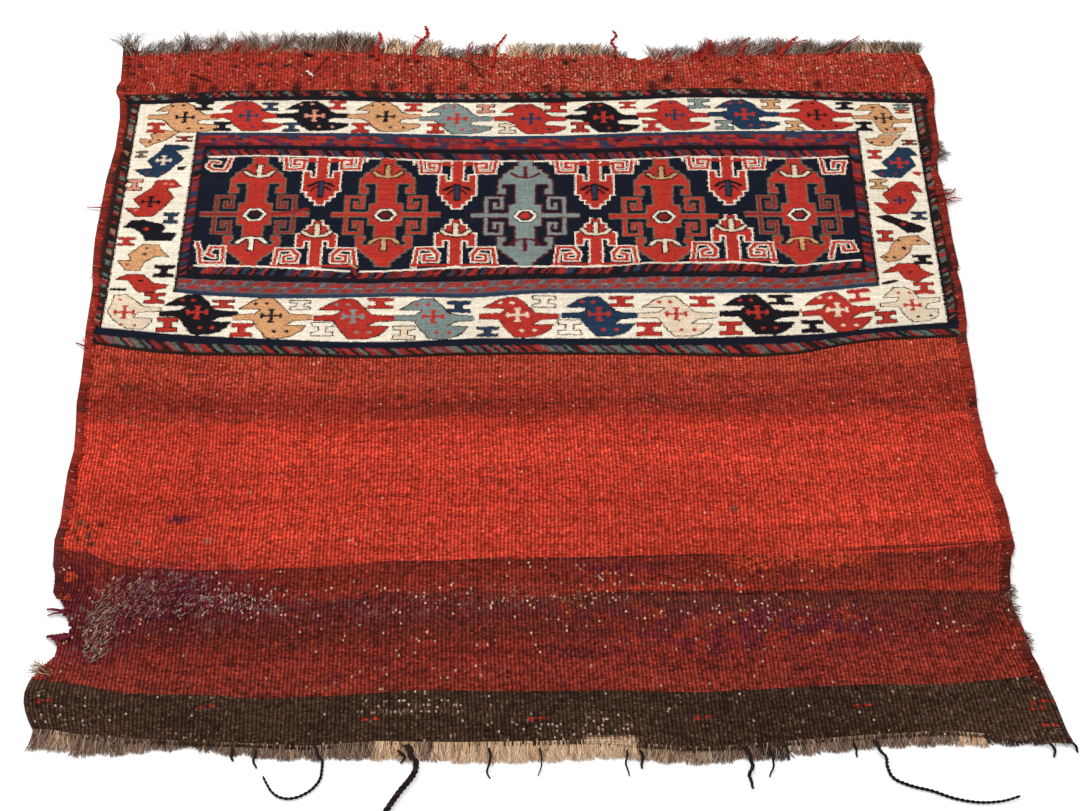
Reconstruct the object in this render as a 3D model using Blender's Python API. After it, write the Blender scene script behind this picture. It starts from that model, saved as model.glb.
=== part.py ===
"""Kilim saddle bag, woven in one piece and lying opened out flat, its face up.

The cloth is one loom piece: a red plain strip with a frayed mouth edge, the patterned face in wrapped
weft, the striped plain back, and the dark closure band with its frayed warp ends. Red wool binds the
side edges, and the remains of three braided closure cords leave the band.

Loom coordinates: u runs across from the middle, v runs along from the lower end of the weave.
lay() puts a loom point where it lies on the floor. Everything is in metres.
"""
import math
import random

import bpy
import bmesh
from mathutils import Vector
from mathutils.geometry import delaunay_2d_cdt

MM = 0.001

# Lengths along the cloth, from the lower end up
END_FRINGE = 0.017
BAND_LENGTH = 0.045
STRIPES = (
    ("madder", 0.043),
    ("dark_wine", 0.045),
    ("wine", 0.027),
    ("bright_red", 0.136),
    ("dark_brick", 0.042),
    ("brick_red", 0.031),
)
LOWER_GUARD = 0.018
LOWER_BORDER = 0.046
SLATE_LINE = 0.005
MEANDER = 0.011
BLACK_LINE = 0.006
CHEVRONS = 0.013
FIELD_HEIGHT = 0.130
UPPER_BORDER = 0.041
UPPER_GUARD = 0.012
STRIP_LENGTH = 0.053
TOP_FRINGE = 0.025

# Widths across the cloth
CLOTH_WIDTH = 0.6146
SIDE_GUARD = 0.0068
SIDE_BORDER = 0.048
FRAME_SIDE = 0.012

# Thickness of the two weaves, and of the thinned edge inside the binding
PLAIN_THICKNESS = 0.0026
RIDGE_DEPTH = 0.0008
PANEL_THICKNESS = 0.0036
RIPPLE = 0.0005
EDGE_LIFT = 0.0009
EDGE_THICKNESS = 0.0015
RIDGE_COUNT = 64

# Wool binding: a C-shaped roll that holds the cloth's edge
BINDING_OUT = 0.0032
BINDING_LIP = 0.0034
BINDING_HEIGHT = 0.0036
BINDING_BEAD = 0.0003
BINDING_ROUND = 0.0016
BINDING_FOOT = 0.001
SEAT_GAP = 0.0003
EDGE_CLEARANCE = 0.0006

# Pattern: figures fill their border or field up to these clearances
BORDER_BIRDS = 11
SIDE_BIRDS = 5
BIRD_CLEARANCE = 0.0013
BIRD_GAP = 0.0025
KEY_WIDTH = 0.012
KEY_HEIGHT = 0.011
KEY_OFFSET = 0.34
SIDE_BIRD_SHARE = 0.8
MEDALLIONS = 5
MEDALLION_ARM = 0.4
EYE_RADIUS = 0.007
HOOK_WIDTH = 0.003
OUTLINE_WIDTH = 0.002
GUARD_LINE = 0.005
MARK_HEIGHT = 0.002
MARKS_EACH_SIDE = 3
MARK_PLACE = 0.55

# Closure cords: loom place of the exit, thickness, and the route from the exit in millimetres
CORD_GAP = 0.0003
CORDS = {
    "closure_cord_left": (-0.1350, 0.0022, (
        (0, 0), (0, -7), (-1, -14), (-6, -22), (-14, -27.5), (-22, -28), (-29, -23), (-35, -11))),
    "closure_cord_middle": (-0.0790, 0.0040, (
        (0, 0), (0, -6), (-3, -13), (-9, -23), (-15, -35), (-21, -48), (-25, -62), (-24, -76))),
    "closure_cord_right": (0.1970, 0.0024, (
        (0, 0), (0, -7), (3, -16), (13, -22), (25, -26), (38, -32), (52, -35), (66, -34), (77, -30))),
}

# How the cloth lies: places along the weave as shares of its length, and offsets in millimetres.
# The side edges wander, each weft line sags at five places across, and the left edge is torn.
LEFT_WANDER = (
    (0.00, -9), (0.022, -3), (0.045, 3), (0.065, 0), (0.09, -3), (0.19, -6), (0.21, -4), (0.235, -2),
    (0.262, -5), (0.33, -4), (0.356, -6), (0.39, -4), (0.442, 0), (0.458, -2), (0.54, 0), (0.73, 1),
    (0.837, 1), (0.864, 3), (0.892, 4), (0.919, 7), (0.932, 11), (0.96, 8), (1.00, 9))
RIGHT_WANDER = (
    (0.00, 25), (0.02, 22), (0.045, 18), (0.058, 13), (0.07, 10.5), (0.10, 7), (0.12, 4), (0.155, 1),
    (0.19, 5), (0.205, 9), (0.225, 7.5), (0.25, 6.5), (0.29, 4.5), (0.315, 1), (0.342, 3), (0.355, -1),
    (0.45, -1), (0.60, 0), (0.73, 1), (0.79, -1.5), (0.84, 4.5), (0.93, 6), (0.96, 4), (1.00, 0))
SAG_ACROSS = (-0.5, -0.25, 0.0, 0.25, 0.5)
SAG = (
    (0.00, (8, -3, -2, -4, 2)),
    (0.061, (8, -8, -2, 1, 9)),
    (0.216, (5, -8, -3, 6, 17)),
    (0.401, (0, -2, -2, 0, 2)),
    (0.500, (9, -3, -1, -3, 18)),
    (0.587, (5, -4, 1, 1, 13)),
    (0.634, (0, -4, 0, 4, 9)),
    (0.810, (2, 1, -4, 1.5, 2)),
    (0.856, (1, 0, -4, 2, 1)),
    (0.912, (-4, 1.5, -1, 5, -3)),
    (1.00, (-2, 3, -3, -2, 2)),
)
TEAR = ((0.075, 0), (0.083, 5), (0.090, 9), (0.099, 10.5), (0.107, 7), (0.1135, 3), (0.117, 16),
        (0.124, 16), (0.144, 11), (0.162, 7), (0.176, 2), (0.190, 0))
TEAR_REACH = 0.03
LOWER_TIPS = ((-0.5, 0.6), (-0.42, 1.0), (-0.34, 0.3), (-0.25, 0.8), (-0.1, 0.9), (0.15, 1.0),
              (0.25, 0.8), (0.33, 0.6), (0.5, 0.3))
UPPER_TIPS = ((-0.5, 1.0), (-0.25, 0.9), (-0.12, 0.3), (-0.1, 0.8), (0.1, 0.5), (0.12, 0.1),
              (0.2, 0.7), (0.5, 0.5))
LEFT_BINDING = (0.165, 0.996)
RIGHT_BINDING = (0.175, 0.996)
RIGHT_BINDING_END = (0.058, 0.118)
EDGE_STEP = 0.027
# Small shifts that put the middle of the laid cloth over the origin
SAG_SHIFT = 0.0022
WANDER_SHIFT = -0.0059
LINE_STEP = 0.050
SEED = 7

BACK_LENGTH = sum(length for _, length in STRIPES)
FRAME_HEIGHT = SLATE_LINE + MEANDER + BLACK_LINE + CHEVRONS
PANEL_LENGTH = LOWER_GUARD + LOWER_BORDER + 2 * FRAME_HEIGHT + FIELD_HEIGHT + UPPER_BORDER + UPPER_GUARD
WOVEN_LENGTH = BAND_LENGTH + BACK_LENGTH + PANEL_LENGTH + STRIP_LENGTH
V_BAND = BAND_LENGTH
V_PANEL = V_BAND + BACK_LENGTH
V_STRIP = V_PANEL + PANEL_LENGTH
V_BORDER = V_PANEL + LOWER_GUARD
V_FRAME = V_BORDER + LOWER_BORDER
V_FIELD = V_FRAME + FRAME_HEIGHT
V_FIELD_TOP = V_FIELD + FIELD_HEIGHT
V_FRAME_TOP = V_FIELD_TOP + FRAME_HEIGHT
V_BORDER_TOP = V_FRAME_TOP + UPPER_BORDER
PANEL_WIDTH = CLOTH_WIDTH - 2 * SIDE_GUARD
FIELD_WIDTH = PANEL_WIDTH - 2 * (SIDE_BORDER + FRAME_SIDE)
BIRD_PITCH = PANEL_WIDTH / BORDER_BIRDS
SIDE_BIRD_PITCH = (V_FRAME_TOP - V_FRAME) / SIDE_BIRDS
MEDALLION_PITCH = FIELD_WIDTH / (MEDALLIONS - 1 + 2 * MEDALLION_ARM)
MARK_PITCH = PANEL_WIDTH / (2 * MARKS_EACH_SIDE)
HALF_RIDGE = PANEL_WIDTH / 2 / RIDGE_COUNT
Y_SHIFT = (END_FRINGE - TOP_FRINGE - WOVEN_LENGTH) / 2 + SAG_SHIFT

COLOURS = {
    "bright_red": (206, 54, 38),
    "strip_red": (186, 54, 42),
    "brick_red": (178, 56, 42),
    "dark_brick": (148, 42, 34),
    "wine": (112, 32, 32),
    "dark_wine": (92, 30, 30),
    "madder": (146, 38, 34),
    "band_brown": (62, 48, 38),
    "warp_cream": (214, 188, 150),
    "warp_grey": (104, 88, 74),
    "guard_brown": (52, 40, 34),
    "barber": (150, 76, 60),
    "ivory": (236, 222, 198),
    "navy": (30, 34, 48),
    "slate": (56, 72, 96),
    "meander": (150, 56, 54),
    "black": (34, 28, 32),
    "motif_red": (192, 50, 38),
    "tan": (212, 160, 112),
    "grey_green": (128, 140, 128),
    "indigo": (44, 66, 100),
    "cream": (226, 206, 176),
}


def clear_scene():
    """Start from an empty scene."""
    for obj in list(bpy.data.objects):
        bpy.data.objects.remove(obj, do_unlink=True)


def linear(channel):
    """One colour channel, from 0 to 255, as linear light."""
    value = channel / 255
    return value / 12.92 if value <= 0.04045 else ((value + 0.055) / 1.055) ** 2.4


def wool(name, rgb):
    """A matt wool material of one dyed colour."""
    material = bpy.data.materials.new(name)
    material.use_nodes = True
    shader = material.node_tree.nodes["Principled BSDF"]
    shader.inputs["Base Color"].default_value = (*(linear(c) for c in rgb), 1)
    shader.inputs["Roughness"].default_value = 0.9
    shader.inputs["Metallic"].default_value = 0
    return material


def between(points, place):
    """A smooth value between hand-chosen (place, value) points, level past the ends."""
    points = sorted(points)
    if place <= points[0][0]:
        return points[0][1]
    for (p0, a), (p1, b) in zip(points, points[1:]):
        if place <= p1:
            t = (place - p0) / (p1 - p0)
            return a + (b - a) * t * t * (3 - 2 * t)
    return points[-1][1]


def sag(across, along):
    """How far the weft has moved along the cloth, at shares across and along it."""
    columns = [(along_share, between(list(zip(SAG_ACROSS, row)), across)) for along_share, row in SAG]
    return between(columns, along) * MM


def lay(u, v):
    """Where the loom point (u, v) lies on the floor."""
    along = v / WOVEN_LENGTH
    across = u / CLOTH_WIDTH
    left = -CLOTH_WIDTH / 2 - between(LEFT_WANDER, along) * MM
    right = CLOTH_WIDTH / 2 + between(RIGHT_WANDER, along) * MM
    torn = between(TEAR, along) * MM * max(0, 1 - (u + CLOTH_WIDTH / 2) / TEAR_REACH)
    x = left + (right - left) * (across + 0.5) + torn + WANDER_SHIFT
    return x, v + sag(across, along) + Y_SHIFT


def ripple(u, v):
    """The small rise and fall of the cloth's upper side."""
    return RIPPLE * (1 + math.sin(u * 21 + v * 9) * math.cos(v * 26 - u * 7))


def plain_height(u, v, crest):
    """Height of the plain weave on a warp ridge or in the valley beside it."""
    return PLAIN_THICKNESS + (RIDGE_DEPTH / 2 if crest else -RIDGE_DEPTH / 2) + ripple(u, v)


class Line:
    """One warp line of the mesh: its place across, its stops along, and their vertices."""

    def __init__(self, u, stops, kind):
        self.u, self.stops, self.kind = u, stops, kind
        self.top, self.low = {}, {}

    def chain(self, side, v_from, v_to):
        """The (v, vertex) pairs of one side between two stops."""
        verts = self.top if side == "top" else self.low
        return [(v, verts[v]) for v in self.stops if v_from <= v <= v_to]


def tip_lengths(u, crest, rng):
    """How far a warp end stands out of the weave at the lower and the upper end."""
    across = u / CLOTH_WIDTH
    ragged = 0.5 + 0.5 * rng.random() if crest else 0.2 + 0.3 * rng.random()
    lower = END_FRINGE * between(LOWER_TIPS, across) * (0.85 + 0.15 * ragged)
    upper = TOP_FRINGE * between(UPPER_TIPS, across) * ragged
    for exit_u, diameter, _ in CORDS.values():
        if abs(u - exit_u) < diameter + 2 * HALF_RIDGE:
            lower = cord_exit_depth(exit_u)
    return max(lower, MM), max(upper, MM)


def cord_exit_depth(exit_u):
    """Length of the warp ends where a cord leaves the band."""
    return END_FRINGE * between(LOWER_TIPS, exit_u / CLOTH_WIDTH)


def stripe_stops():
    """The places along the cloth where the plain weave changes colour."""
    stops, v = [0.0, V_BAND], V_BAND
    for _, length in STRIPES:
        v += length
        stops.append(v)
    stops[-1] = V_PANEL
    return stops


def edge_stops():
    """Closer stops for the side edges, which wander and are torn."""
    marks = stripe_stops() + [V_BORDER, V_FRAME, V_FIELD, V_FIELD_TOP, V_FRAME_TOP, V_BORDER_TOP]
    shares = {share for share, _ in TEAR} | {*LEFT_BINDING, *RIGHT_BINDING, *RIGHT_BINDING_END}
    marks = sorted(marks + [V_STRIP, WOVEN_LENGTH] + [share * WOVEN_LENGTH for share in shares])
    stops = []
    for v0, v1 in zip(marks, marks[1:]):
        count = max(1, math.ceil((v1 - v0) / EDGE_STEP))
        stops += [v0 + (v1 - v0) * k / count for k in range(count)]
    return stops + [WOVEN_LENGTH]


def mark_stops():
    """Stops at the two bars of a red tie mark in the closure band."""
    middle = BAND_LENGTH * MARK_PLACE
    return [middle + k * MARK_HEIGHT for k in (-1.25, -0.25, 0.25, 1.25)]


def marked(u, reach):
    """Whether a place lies within so many half ridges of a crest that carries a red tie mark."""
    for k in range(-MARKS_EACH_SIDE, MARKS_EACH_SIDE + 1):
        ridge = round((k * MARK_PITCH + PANEL_WIDTH / 2) / HALF_RIDGE / 2 - 0.5)
        ridge = min(RIDGE_COUNT - 1, max(0, ridge))
        if abs(u - ((2 * ridge + 1) * HALF_RIDGE - PANEL_WIDTH / 2)) < reach * HALF_RIDGE:
            return True
    return False


def warp_lines():
    """All warp lines of the mesh, from the left edge to the right."""
    rng = random.Random(SEED)
    half, last = CLOTH_WIDTH / 2, 2 * RIDGE_COUNT
    lip = half - BINDING_LIP - EDGE_CLEARANCE
    places = [(-half, "edge"), (-lip, "lip")]
    for k in range(last + 1):
        kind = "side" if k in (0, last) else ("crest" if k % 2 else "valley")
        places.append((k * HALF_RIDGE - PANEL_WIDTH / 2, kind))
    places += [(lip, "lip"), (half, "edge")]
    lines = []
    for u, kind in places:
        lower, upper = tip_lengths(u, kind == "crest", rng)
        at_side = kind in ("edge", "lip", "side")
        stops = edge_stops() if at_side else stripe_stops() + [V_STRIP, WOVEN_LENGTH]
        stops += mark_stops() if marked(u, 1.1) and kind not in ("edge", "lip") else []
        lines.append(Line(u, sorted([-lower, *stops, WOVEN_LENGTH + upper]), kind))
    return lines


def add_vertices(bm, lines):
    """Upper vertices at every stop, lower ones at the warp ends and along the side edges."""
    for line in lines:
        for v in line.stops:
            x, y = lay(line.u, v)
            tip = v in (line.stops[0], line.stops[-1])
            if line.kind in ("edge", "lip"):
                floor, height = EDGE_LIFT, EDGE_LIFT + EDGE_THICKNESS
            else:
                floor, height = 0, plain_height(line.u, v, line.kind == "crest")
            if tip:
                height = floor + (height - floor) * 0.5
            line.top[v] = bm.verts.new((x, y, height))
            if tip or line.kind in ("edge", "lip", "side"):
                line.low[v] = bm.verts.new((x, y, floor))


def plain_colour(u, v):
    """Name of the dyed colour at a loom point outside the patterned face."""
    if v < 0:
        return "warp_cream" if -0.08 < u < 0.08 else "warp_grey"
    if v < V_BAND:
        low, below, above, high = mark_stops()
        in_bar = low < v < below or above < v < high
        return "motif_red" if in_bar and marked(u, 0.9) else "band_brown"
    if v > WOVEN_LENGTH:
        return "warp_grey"
    if v > V_STRIP:
        return "strip_red"
    top = V_BAND
    for name, length in STRIPES:
        top += length
        if v < top:
            return name
    return "guard_brown"


def zip_strip(bm, a, b, paint):
    """Triangles between two chains of (v, vertex), the first on the left."""
    i = j = 0
    while i < len(a) - 1 or j < len(b) - 1:
        step_a = j == len(b) - 1 or (i < len(a) - 1 and a[i + 1][0] <= b[j + 1][0])
        third = a[i + 1] if step_a else b[j + 1]
        face = bm.faces.new((a[i][1], b[j][1], third[1]))
        paint(face, (a[i][0] + b[j][0] + third[0]) / 3)
        i, j = (i + 1, j) if step_a else (i, j + 1)


def add_plain_weave(bm, lines, indices):
    """The upper side outside the patterned face, and the whole of the side edges."""
    for left, right in zip(lines, lines[1:]):
        def paint(face, v, u=(left.u + right.u) / 2):
            face.material_index = indices[plain_colour(u, v)]
        low, high = left.stops[0], WOVEN_LENGTH + TOP_FRINGE
        low = min(low, right.stops[0])
        if "edge" in (left.kind, right.kind) or "lip" in (left.kind, right.kind):
            zip_strip(bm, left.chain("top", low, high), right.chain("top", low, high), paint)
            zip_strip(bm, right.chain("low", low, high), left.chain("low", low, high), paint)
        else:
            zip_strip(bm, left.chain("top", low, V_PANEL), right.chain("top", low, V_PANEL), paint)
            zip_strip(bm, left.chain("top", V_STRIP, high), right.chain("top", V_STRIP, high), paint)


def add_walls_and_underside(bm, lines, indices):
    """The frayed end faces, the outer edge faces and the flat underside."""
    for left, right in zip(lines, lines[1:]):
        for end in (0, -1):
            a, b = left.stops[end], right.stops[end]
            face = bm.faces.new((left.top[a], left.low[a], right.low[b], right.top[b]))
            face.material_index = indices[plain_colour(left.u, a)]
    for line in (lines[0], lines[-1]):
        for v0, v1 in zip(line.stops, line.stops[1:]):
            face = bm.faces.new((line.top[v0], line.top[v1], line.low[v1], line.low[v0]))
            face.material_index = indices[plain_colour(line.u, (v0 + v1) / 2)]
    inner = lines[2:-2]
    outline = [inner[0].low[v] for v in inner[0].stops]
    outline += [line.low[line.stops[-1]] for line in inner[1:-1]]
    outline += [inner[-1].low[v] for v in reversed(inner[-1].stops)]
    outline += [line.low[line.stops[0]] for line in reversed(inner[1:-1])]
    bm.faces.new(outline).material_index = indices["brick_red"]


def box_shape(u0, u1, v0, v1):
    """A rectangle with extra points along its long sides, so that it follows the sag."""
    count = max(2, math.ceil((u1 - u0) / LINE_STEP))
    row = [u0 + (u1 - u0) * k / count for k in range(count + 1)]
    return [(u, v0) for u in row] + [(u, v1) for u in reversed(row)]


def placed(points, u, v, width, height):
    """An outline drawn in a unit box, put at (u, v) with its own width and height."""
    return [(u + x * width, v + y * height) for x, y in points]


def bird_outline():
    """Double-headed bird: one half, and the same half turned by 180 degrees."""
    half = [(-0.21, 0.10), (-0.46, 0.20), (-0.29, 0.38), (-0.13, 0.5), (0.0, 0.5), (0.19, 0.23),
            (0.25, 0.09), (0.5, 0.08), (0.5, -0.08)]
    return half + [(-x, -y) for x, y in half]


def side_bird_outline():
    """Upright bird without the joining bars, for the side borders."""
    half = [(0.3, 0.28), (0.5, 0.32), (0.4, 0.5), (0.0, 0.5), (-0.1, 0.3), (-0.36, 0.04)]
    return half + [(-x, -y) for x, y in half]


def key_outline():
    """The small H-shaped filling figure."""
    quarter = [(0.5, 0.5), (0.5, 0.2), (0.18, 0.2)]
    right = quarter + [(x, -y) for x, y in reversed(quarter)]
    return right + [(-x, -y) for x, y in right]


def medallion_outline():
    """Tall medallion: stepped head, hooked arms, square middle and cross arms, over four quarters."""
    quarter = [(0.06, 0.52), (0.06, 0.48), (0.12, 0.44), (0.17, 0.40), (0.22, 0.37), (0.22, 0.20),
               (0.15, 0.20), (0.15, 0.24), (0.18, 0.24), (0.18, 0.28), (0.08, 0.28), (0.08, 0.09),
               (0.12, 0.09), (0.12, 0.027), (0.40, 0.027)]
    right = quarter + [(x, -y) for x, y in reversed(quarter)]
    return right + [(-x, -y) for x, y in right]


def half_medallion_outline(grow):
    """Stem and stepped shield, in metres from the field's edge inwards, grown by an outline."""
    stem = [(0.04, 0.0), (0.04, 0.23), (0.09, 0.23), (0.09, 0.185), (0.125, 0.185)]
    shield = [(0.125, 0.33), (0.09, 0.36), (0.09, 0.39), (0.05, 0.40), (0.05, 0.44), (0.02, 0.445),
              (0.02, 0.475)]
    side = [(x * MEDALLION_PITCH + grow, y * FIELD_HEIGHT - grow if y else 0) for x, y in stem]
    side += [(x * MEDALLION_PITCH + grow, y * FIELD_HEIGHT + grow) for x, y in shield]
    return side + [(-x, y) for x, y in reversed(side)]


def stroke(path, width):
    """A band of even width along a path of straight, square runs."""
    left, right = [], []
    for k, (x, y) in enumerate(path):
        before, after = path[max(k - 1, 0)], path[min(k + 1, len(path) - 1)]
        into = Vector((x - before[0], y - before[1]))
        away = Vector((after[0] - x, after[1] - y))
        into = into.normalized() if into.length else away.normalized()
        away = away.normalized() if away.length else into
        corner = Vector((-(into.y + away.y), into.x + away.x))
        corner *= width / 2 / max(0.5, corner.length_squared / 2)
        left.append((x + corner.x, y + corner.y))
        right.append((x - corner.x, y - corner.y))
    return left + right[::-1]


def border_shapes():
    """Birds and filling figures of the white border."""
    shapes = []
    top_colours = ("tan", "motif_red", "black", "tan", "grey_green", "motif_red",
                   "black", "motif_red", "indigo", "motif_red", "tan")
    low_colours = ("cream", "black", "tan", "motif_red", "grey_green", "motif_red",
                   "indigo", "cream", "black", "motif_red", "cream")
    key_colours = ("black", "slate", "motif_red")
    rows = ((V_FRAME_TOP, UPPER_BORDER, top_colours), (V_BORDER, LOWER_BORDER, low_colours))
    for base, border, colours in rows:
        middle, height = base + border / 2, border - 2 * BIRD_CLEARANCE
        for k in range(BORDER_BIRDS):
            u = (k - (BORDER_BIRDS - 1) / 2) * BIRD_PITCH
            bird = placed(bird_outline(), u, middle, BIRD_PITCH - BIRD_GAP, height)
            shapes.append((colours[k % len(colours)], bird))
            for side in (-1, 1):
                key = placed(key_outline(), u + side * KEY_OFFSET * BIRD_PITCH,
                             middle + side * KEY_OFFSET * height, KEY_WIDTH, KEY_HEIGHT)
                shapes.append((key_colours[(k + side) % len(key_colours)], key))
    side_middle = (PANEL_WIDTH - SIDE_BORDER) / 2
    side_colours = ("motif_red", "tan", "black", "motif_red", "indigo")
    for side in (-1, 1):
        for k in range(SIDE_BIRDS):
            v = (V_FRAME + V_FRAME_TOP) / 2 + (k - (SIDE_BIRDS - 1) / 2) * SIDE_BIRD_PITCH
            bird = placed(side_bird_outline(), side * side_middle, v,
                          SIDE_BIRD_SHARE * SIDE_BORDER, SIDE_BIRD_PITCH - BIRD_GAP)
            shapes.append((side_colours[k % len(side_colours)], bird))
    return shapes


def field_shapes():
    """Medallions of the dark field, and the half medallions at its two edges."""
    shapes = []
    middle = (V_FIELD + V_FIELD_TOP) / 2
    arm_hook = [(0.302, 0.0), (0.302, 0.16), (0.193, 0.16), (0.193, 0.08)]
    edge_hook = [(0.29, 0.0), (0.29, 0.13), (0.17, 0.13), (0.17, 0.06)]
    for k in range(MEDALLIONS):
        u = (k - (MEDALLIONS - 1) / 2) * MEDALLION_PITCH
        colour = "grey_green" if k == MEDALLIONS // 2 else "motif_red"
        shapes.append((colour, placed(medallion_outline(), u, middle, MEDALLION_PITCH * 0.98,
                                      FIELD_HEIGHT * 0.96)))
        for side in (-1, 1):
            for way in (-1, 1):
                hook = placed(arm_hook, u, middle, side * MEDALLION_PITCH, way * FIELD_HEIGHT)
                shapes.append((colour, stroke(hook, HOOK_WIDTH)))
        eye = [(u + EYE_RADIUS * math.cos(a * math.pi / 3), middle + EYE_RADIUS * math.sin(a * math.pi / 3))
               for a in range(6)]
        shapes.append(("ivory", eye))
    for k in range(MEDALLIONS - 1):
        u = (k - (MEDALLIONS - 2) / 2) * MEDALLION_PITCH
        for base, way in ((V_FIELD, 1), (V_FIELD_TOP, -1)):
            for colour, grow in (("ivory", OUTLINE_WIDTH), ("motif_red", 0)):
                half = [(u + x, base + way * y) for x, y in half_medallion_outline(grow)]
                shapes.append((colour, half))
                for side in (-1, 1):
                    hook = placed(edge_hook, u, base, side * MEDALLION_PITCH, way * FIELD_HEIGHT)
                    shapes.append((colour, stroke(hook, HOOK_WIDTH + 2 * grow)))
    return shapes


def panel_shapes():
    """Colour fields of the patterned face, later ones lying over earlier ones."""
    half = PANEL_WIDTH / 2
    inner, field = half - SIDE_BORDER, FIELD_WIDTH / 2
    line, meander, black = OUTLINE_WIDTH, SLATE_LINE + MEANDER, SLATE_LINE + MEANDER + BLACK_LINE
    side_step = FRAME_SIDE / 4
    shapes = [
        ("barber", box_shape(-half + line, half - line, V_BORDER_TOP + GUARD_LINE, V_STRIP - line / 2)),
        ("barber", box_shape(-half + line, half - line, V_PANEL + GUARD_LINE, V_BORDER - GUARD_LINE)),
        ("ivory", box_shape(-half + line, half - line, V_BORDER, V_BORDER_TOP)),
        ("slate", box_shape(-inner, inner, V_FRAME, V_FRAME_TOP)),
    ]
    nested = (("meander", SLATE_LINE), ("black", meander), ("barber", black))
    for k, (name, inset) in enumerate(nested, 1):
        shapes.append((name, box_shape(-inner + k * side_step, inner - k * side_step,
                                       V_FRAME + inset, V_FRAME_TOP - inset)))
    shapes.append(("ivory", box_shape(-field, field, V_FIELD - line, V_FIELD_TOP + line)))
    shapes.append(("navy", box_shape(-field, field, V_FIELD, V_FIELD_TOP)))
    return shapes + border_shapes() + field_shapes()


def inside(point, outline):
    """Whether a loom point lies inside an outline."""
    u, v = point
    found = False
    for (u0, v0), (u1, v1) in zip(outline, outline[1:] + outline[:1]):
        if (v0 > v) != (v1 > v) and u < u0 + (u1 - u0) * (v - v0) / (v1 - v0):
            found = not found
    return found


def panel_colour(point, boxed_shapes):
    """Name of the colour field on top at a loom point of the patterned face."""
    u, v = point
    for name, outline, (u0, u1, v0, v1) in reversed(boxed_shapes):
        if u0 < u < u1 and v0 < v < v1 and inside(point, outline):
            return name
    return "guard_brown"


def add_panel(bm, lines, indices):
    """The patterned face: colour fields cut into one surface between the ridge ends."""
    inner = lines[2:-2]
    rim = [(inner[0].u, v, vert) for v, vert in inner[0].chain("top", V_PANEL, V_STRIP)]
    rim += [(line.u, V_STRIP, line.top[V_STRIP]) for line in inner[1:-1]]
    rim += [(inner[-1].u, v, vert) for v, vert in reversed(inner[-1].chain("top", V_PANEL, V_STRIP))]
    rim += [(line.u, V_PANEL, line.top[V_PANEL]) for line in reversed(inner[1:-1])]
    points = [Vector((u, v)) for u, v, _ in rim]
    edges = [(k, (k + 1) % len(rim)) for k in range(len(rim))]
    shapes = panel_shapes()
    for _, outline in shapes:
        start = len(points)
        points += [Vector(p) for p in outline]
        edges += [(start + k, start + (k + 1) % len(outline)) for k in range(len(outline))]
    spots, _, faces, origins, _, _ = delaunay_2d_cdt(points, edges, [], 0, 2e-5)
    boxed = [(name, outline, (min(p[0] for p in outline), max(p[0] for p in outline),
                              min(p[1] for p in outline), max(p[1] for p in outline)))
             for name, outline in shapes]
    verts = []
    for spot, origin in zip(spots, origins):
        on_rim = [k for k in origin if k < len(rim)]
        if on_rim:
            verts.append(rim[on_rim[0]][2])
        else:
            x, y = lay(*spot)
            verts.append(bm.verts.new((x, y, PANEL_THICKNESS + ripple(*spot))))
    for corners in faces:
        middle = sum((spots[k] for k in corners), Vector((0, 0))) / len(corners)
        face = bm.faces.new([verts[k] for k in corners])
        face.material_index = indices[panel_colour(middle, boxed)]


def build_cloth(collection, materials):
    """The one woven piece, as a closed body."""
    mesh = bpy.data.meshes.new("woven_cloth")
    indices = {}
    for name, material in materials.items():
        indices[name] = len(indices)
        mesh.materials.append(material)
    bm = bmesh.new()
    lines = warp_lines()
    add_vertices(bm, lines)
    add_plain_weave(bm, lines, indices)
    add_panel(bm, lines, indices)
    add_walls_and_underside(bm, lines, indices)
    bmesh.ops.recalc_face_normals(bm, faces=bm.faces[:])
    bm.to_mesh(mesh)
    bm.free()
    cloth = bpy.data.objects.new("woven_cloth", mesh)
    collection.objects.link(cloth)
    return cloth


def binding_section(bead):
    """The C-shaped section: outward distance from the cloth's edge, and height."""
    slot_low = EDGE_LIFT - SEAT_GAP
    slot_top = EDGE_LIFT + EDGE_THICKNESS + SEAT_GAP
    lip = BINDING_LIP - EDGE_CLEARANCE
    return [
        (-lip, slot_low), (-lip, 0), (BINDING_OUT - BINDING_FOOT, 0), (BINDING_OUT + bead, BINDING_ROUND),
        (BINDING_OUT - BINDING_ROUND + bead, BINDING_HEIGHT - BINDING_BEAD + bead),
        (-lip * 0.6, BINDING_HEIGHT + bead), (-BINDING_LIP, slot_top),
        (EDGE_CLEARANCE, slot_top), (EDGE_CLEARANCE, slot_low),
    ]


def build_binding(name, side, shares, collection, material):
    """A roll of wool wraps along one side edge, with a section at each stop of the cloth's edge."""
    bm = bmesh.new()
    v0, v1 = (share * WOVEN_LENGTH for share in shares)
    rings = []
    for k, v in enumerate(v for v in edge_stops() if v0 <= v <= v1):
        x, y = lay(side * CLOTH_WIDTH / 2, v)
        section = binding_section(BINDING_BEAD if k % 2 else -BINDING_BEAD)
        rings.append([bm.verts.new((x + side * out, y, z)) for out, z in section])
    for a, b in zip(rings, rings[1:]):
        for k in range(len(a)):
            after = (k + 1) % len(a)
            bm.faces.new((a[k], a[after], b[after], b[k]))
    bm.faces.new(rings[0])
    bm.faces.new(rings[-1])
    bmesh.ops.recalc_face_normals(bm, faces=bm.faces[:])
    mesh = bpy.data.meshes.new(name)
    bm.to_mesh(mesh)
    bm.free()
    mesh.materials.append(material)
    collection.objects.link(bpy.data.objects.new(name, mesh))


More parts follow.
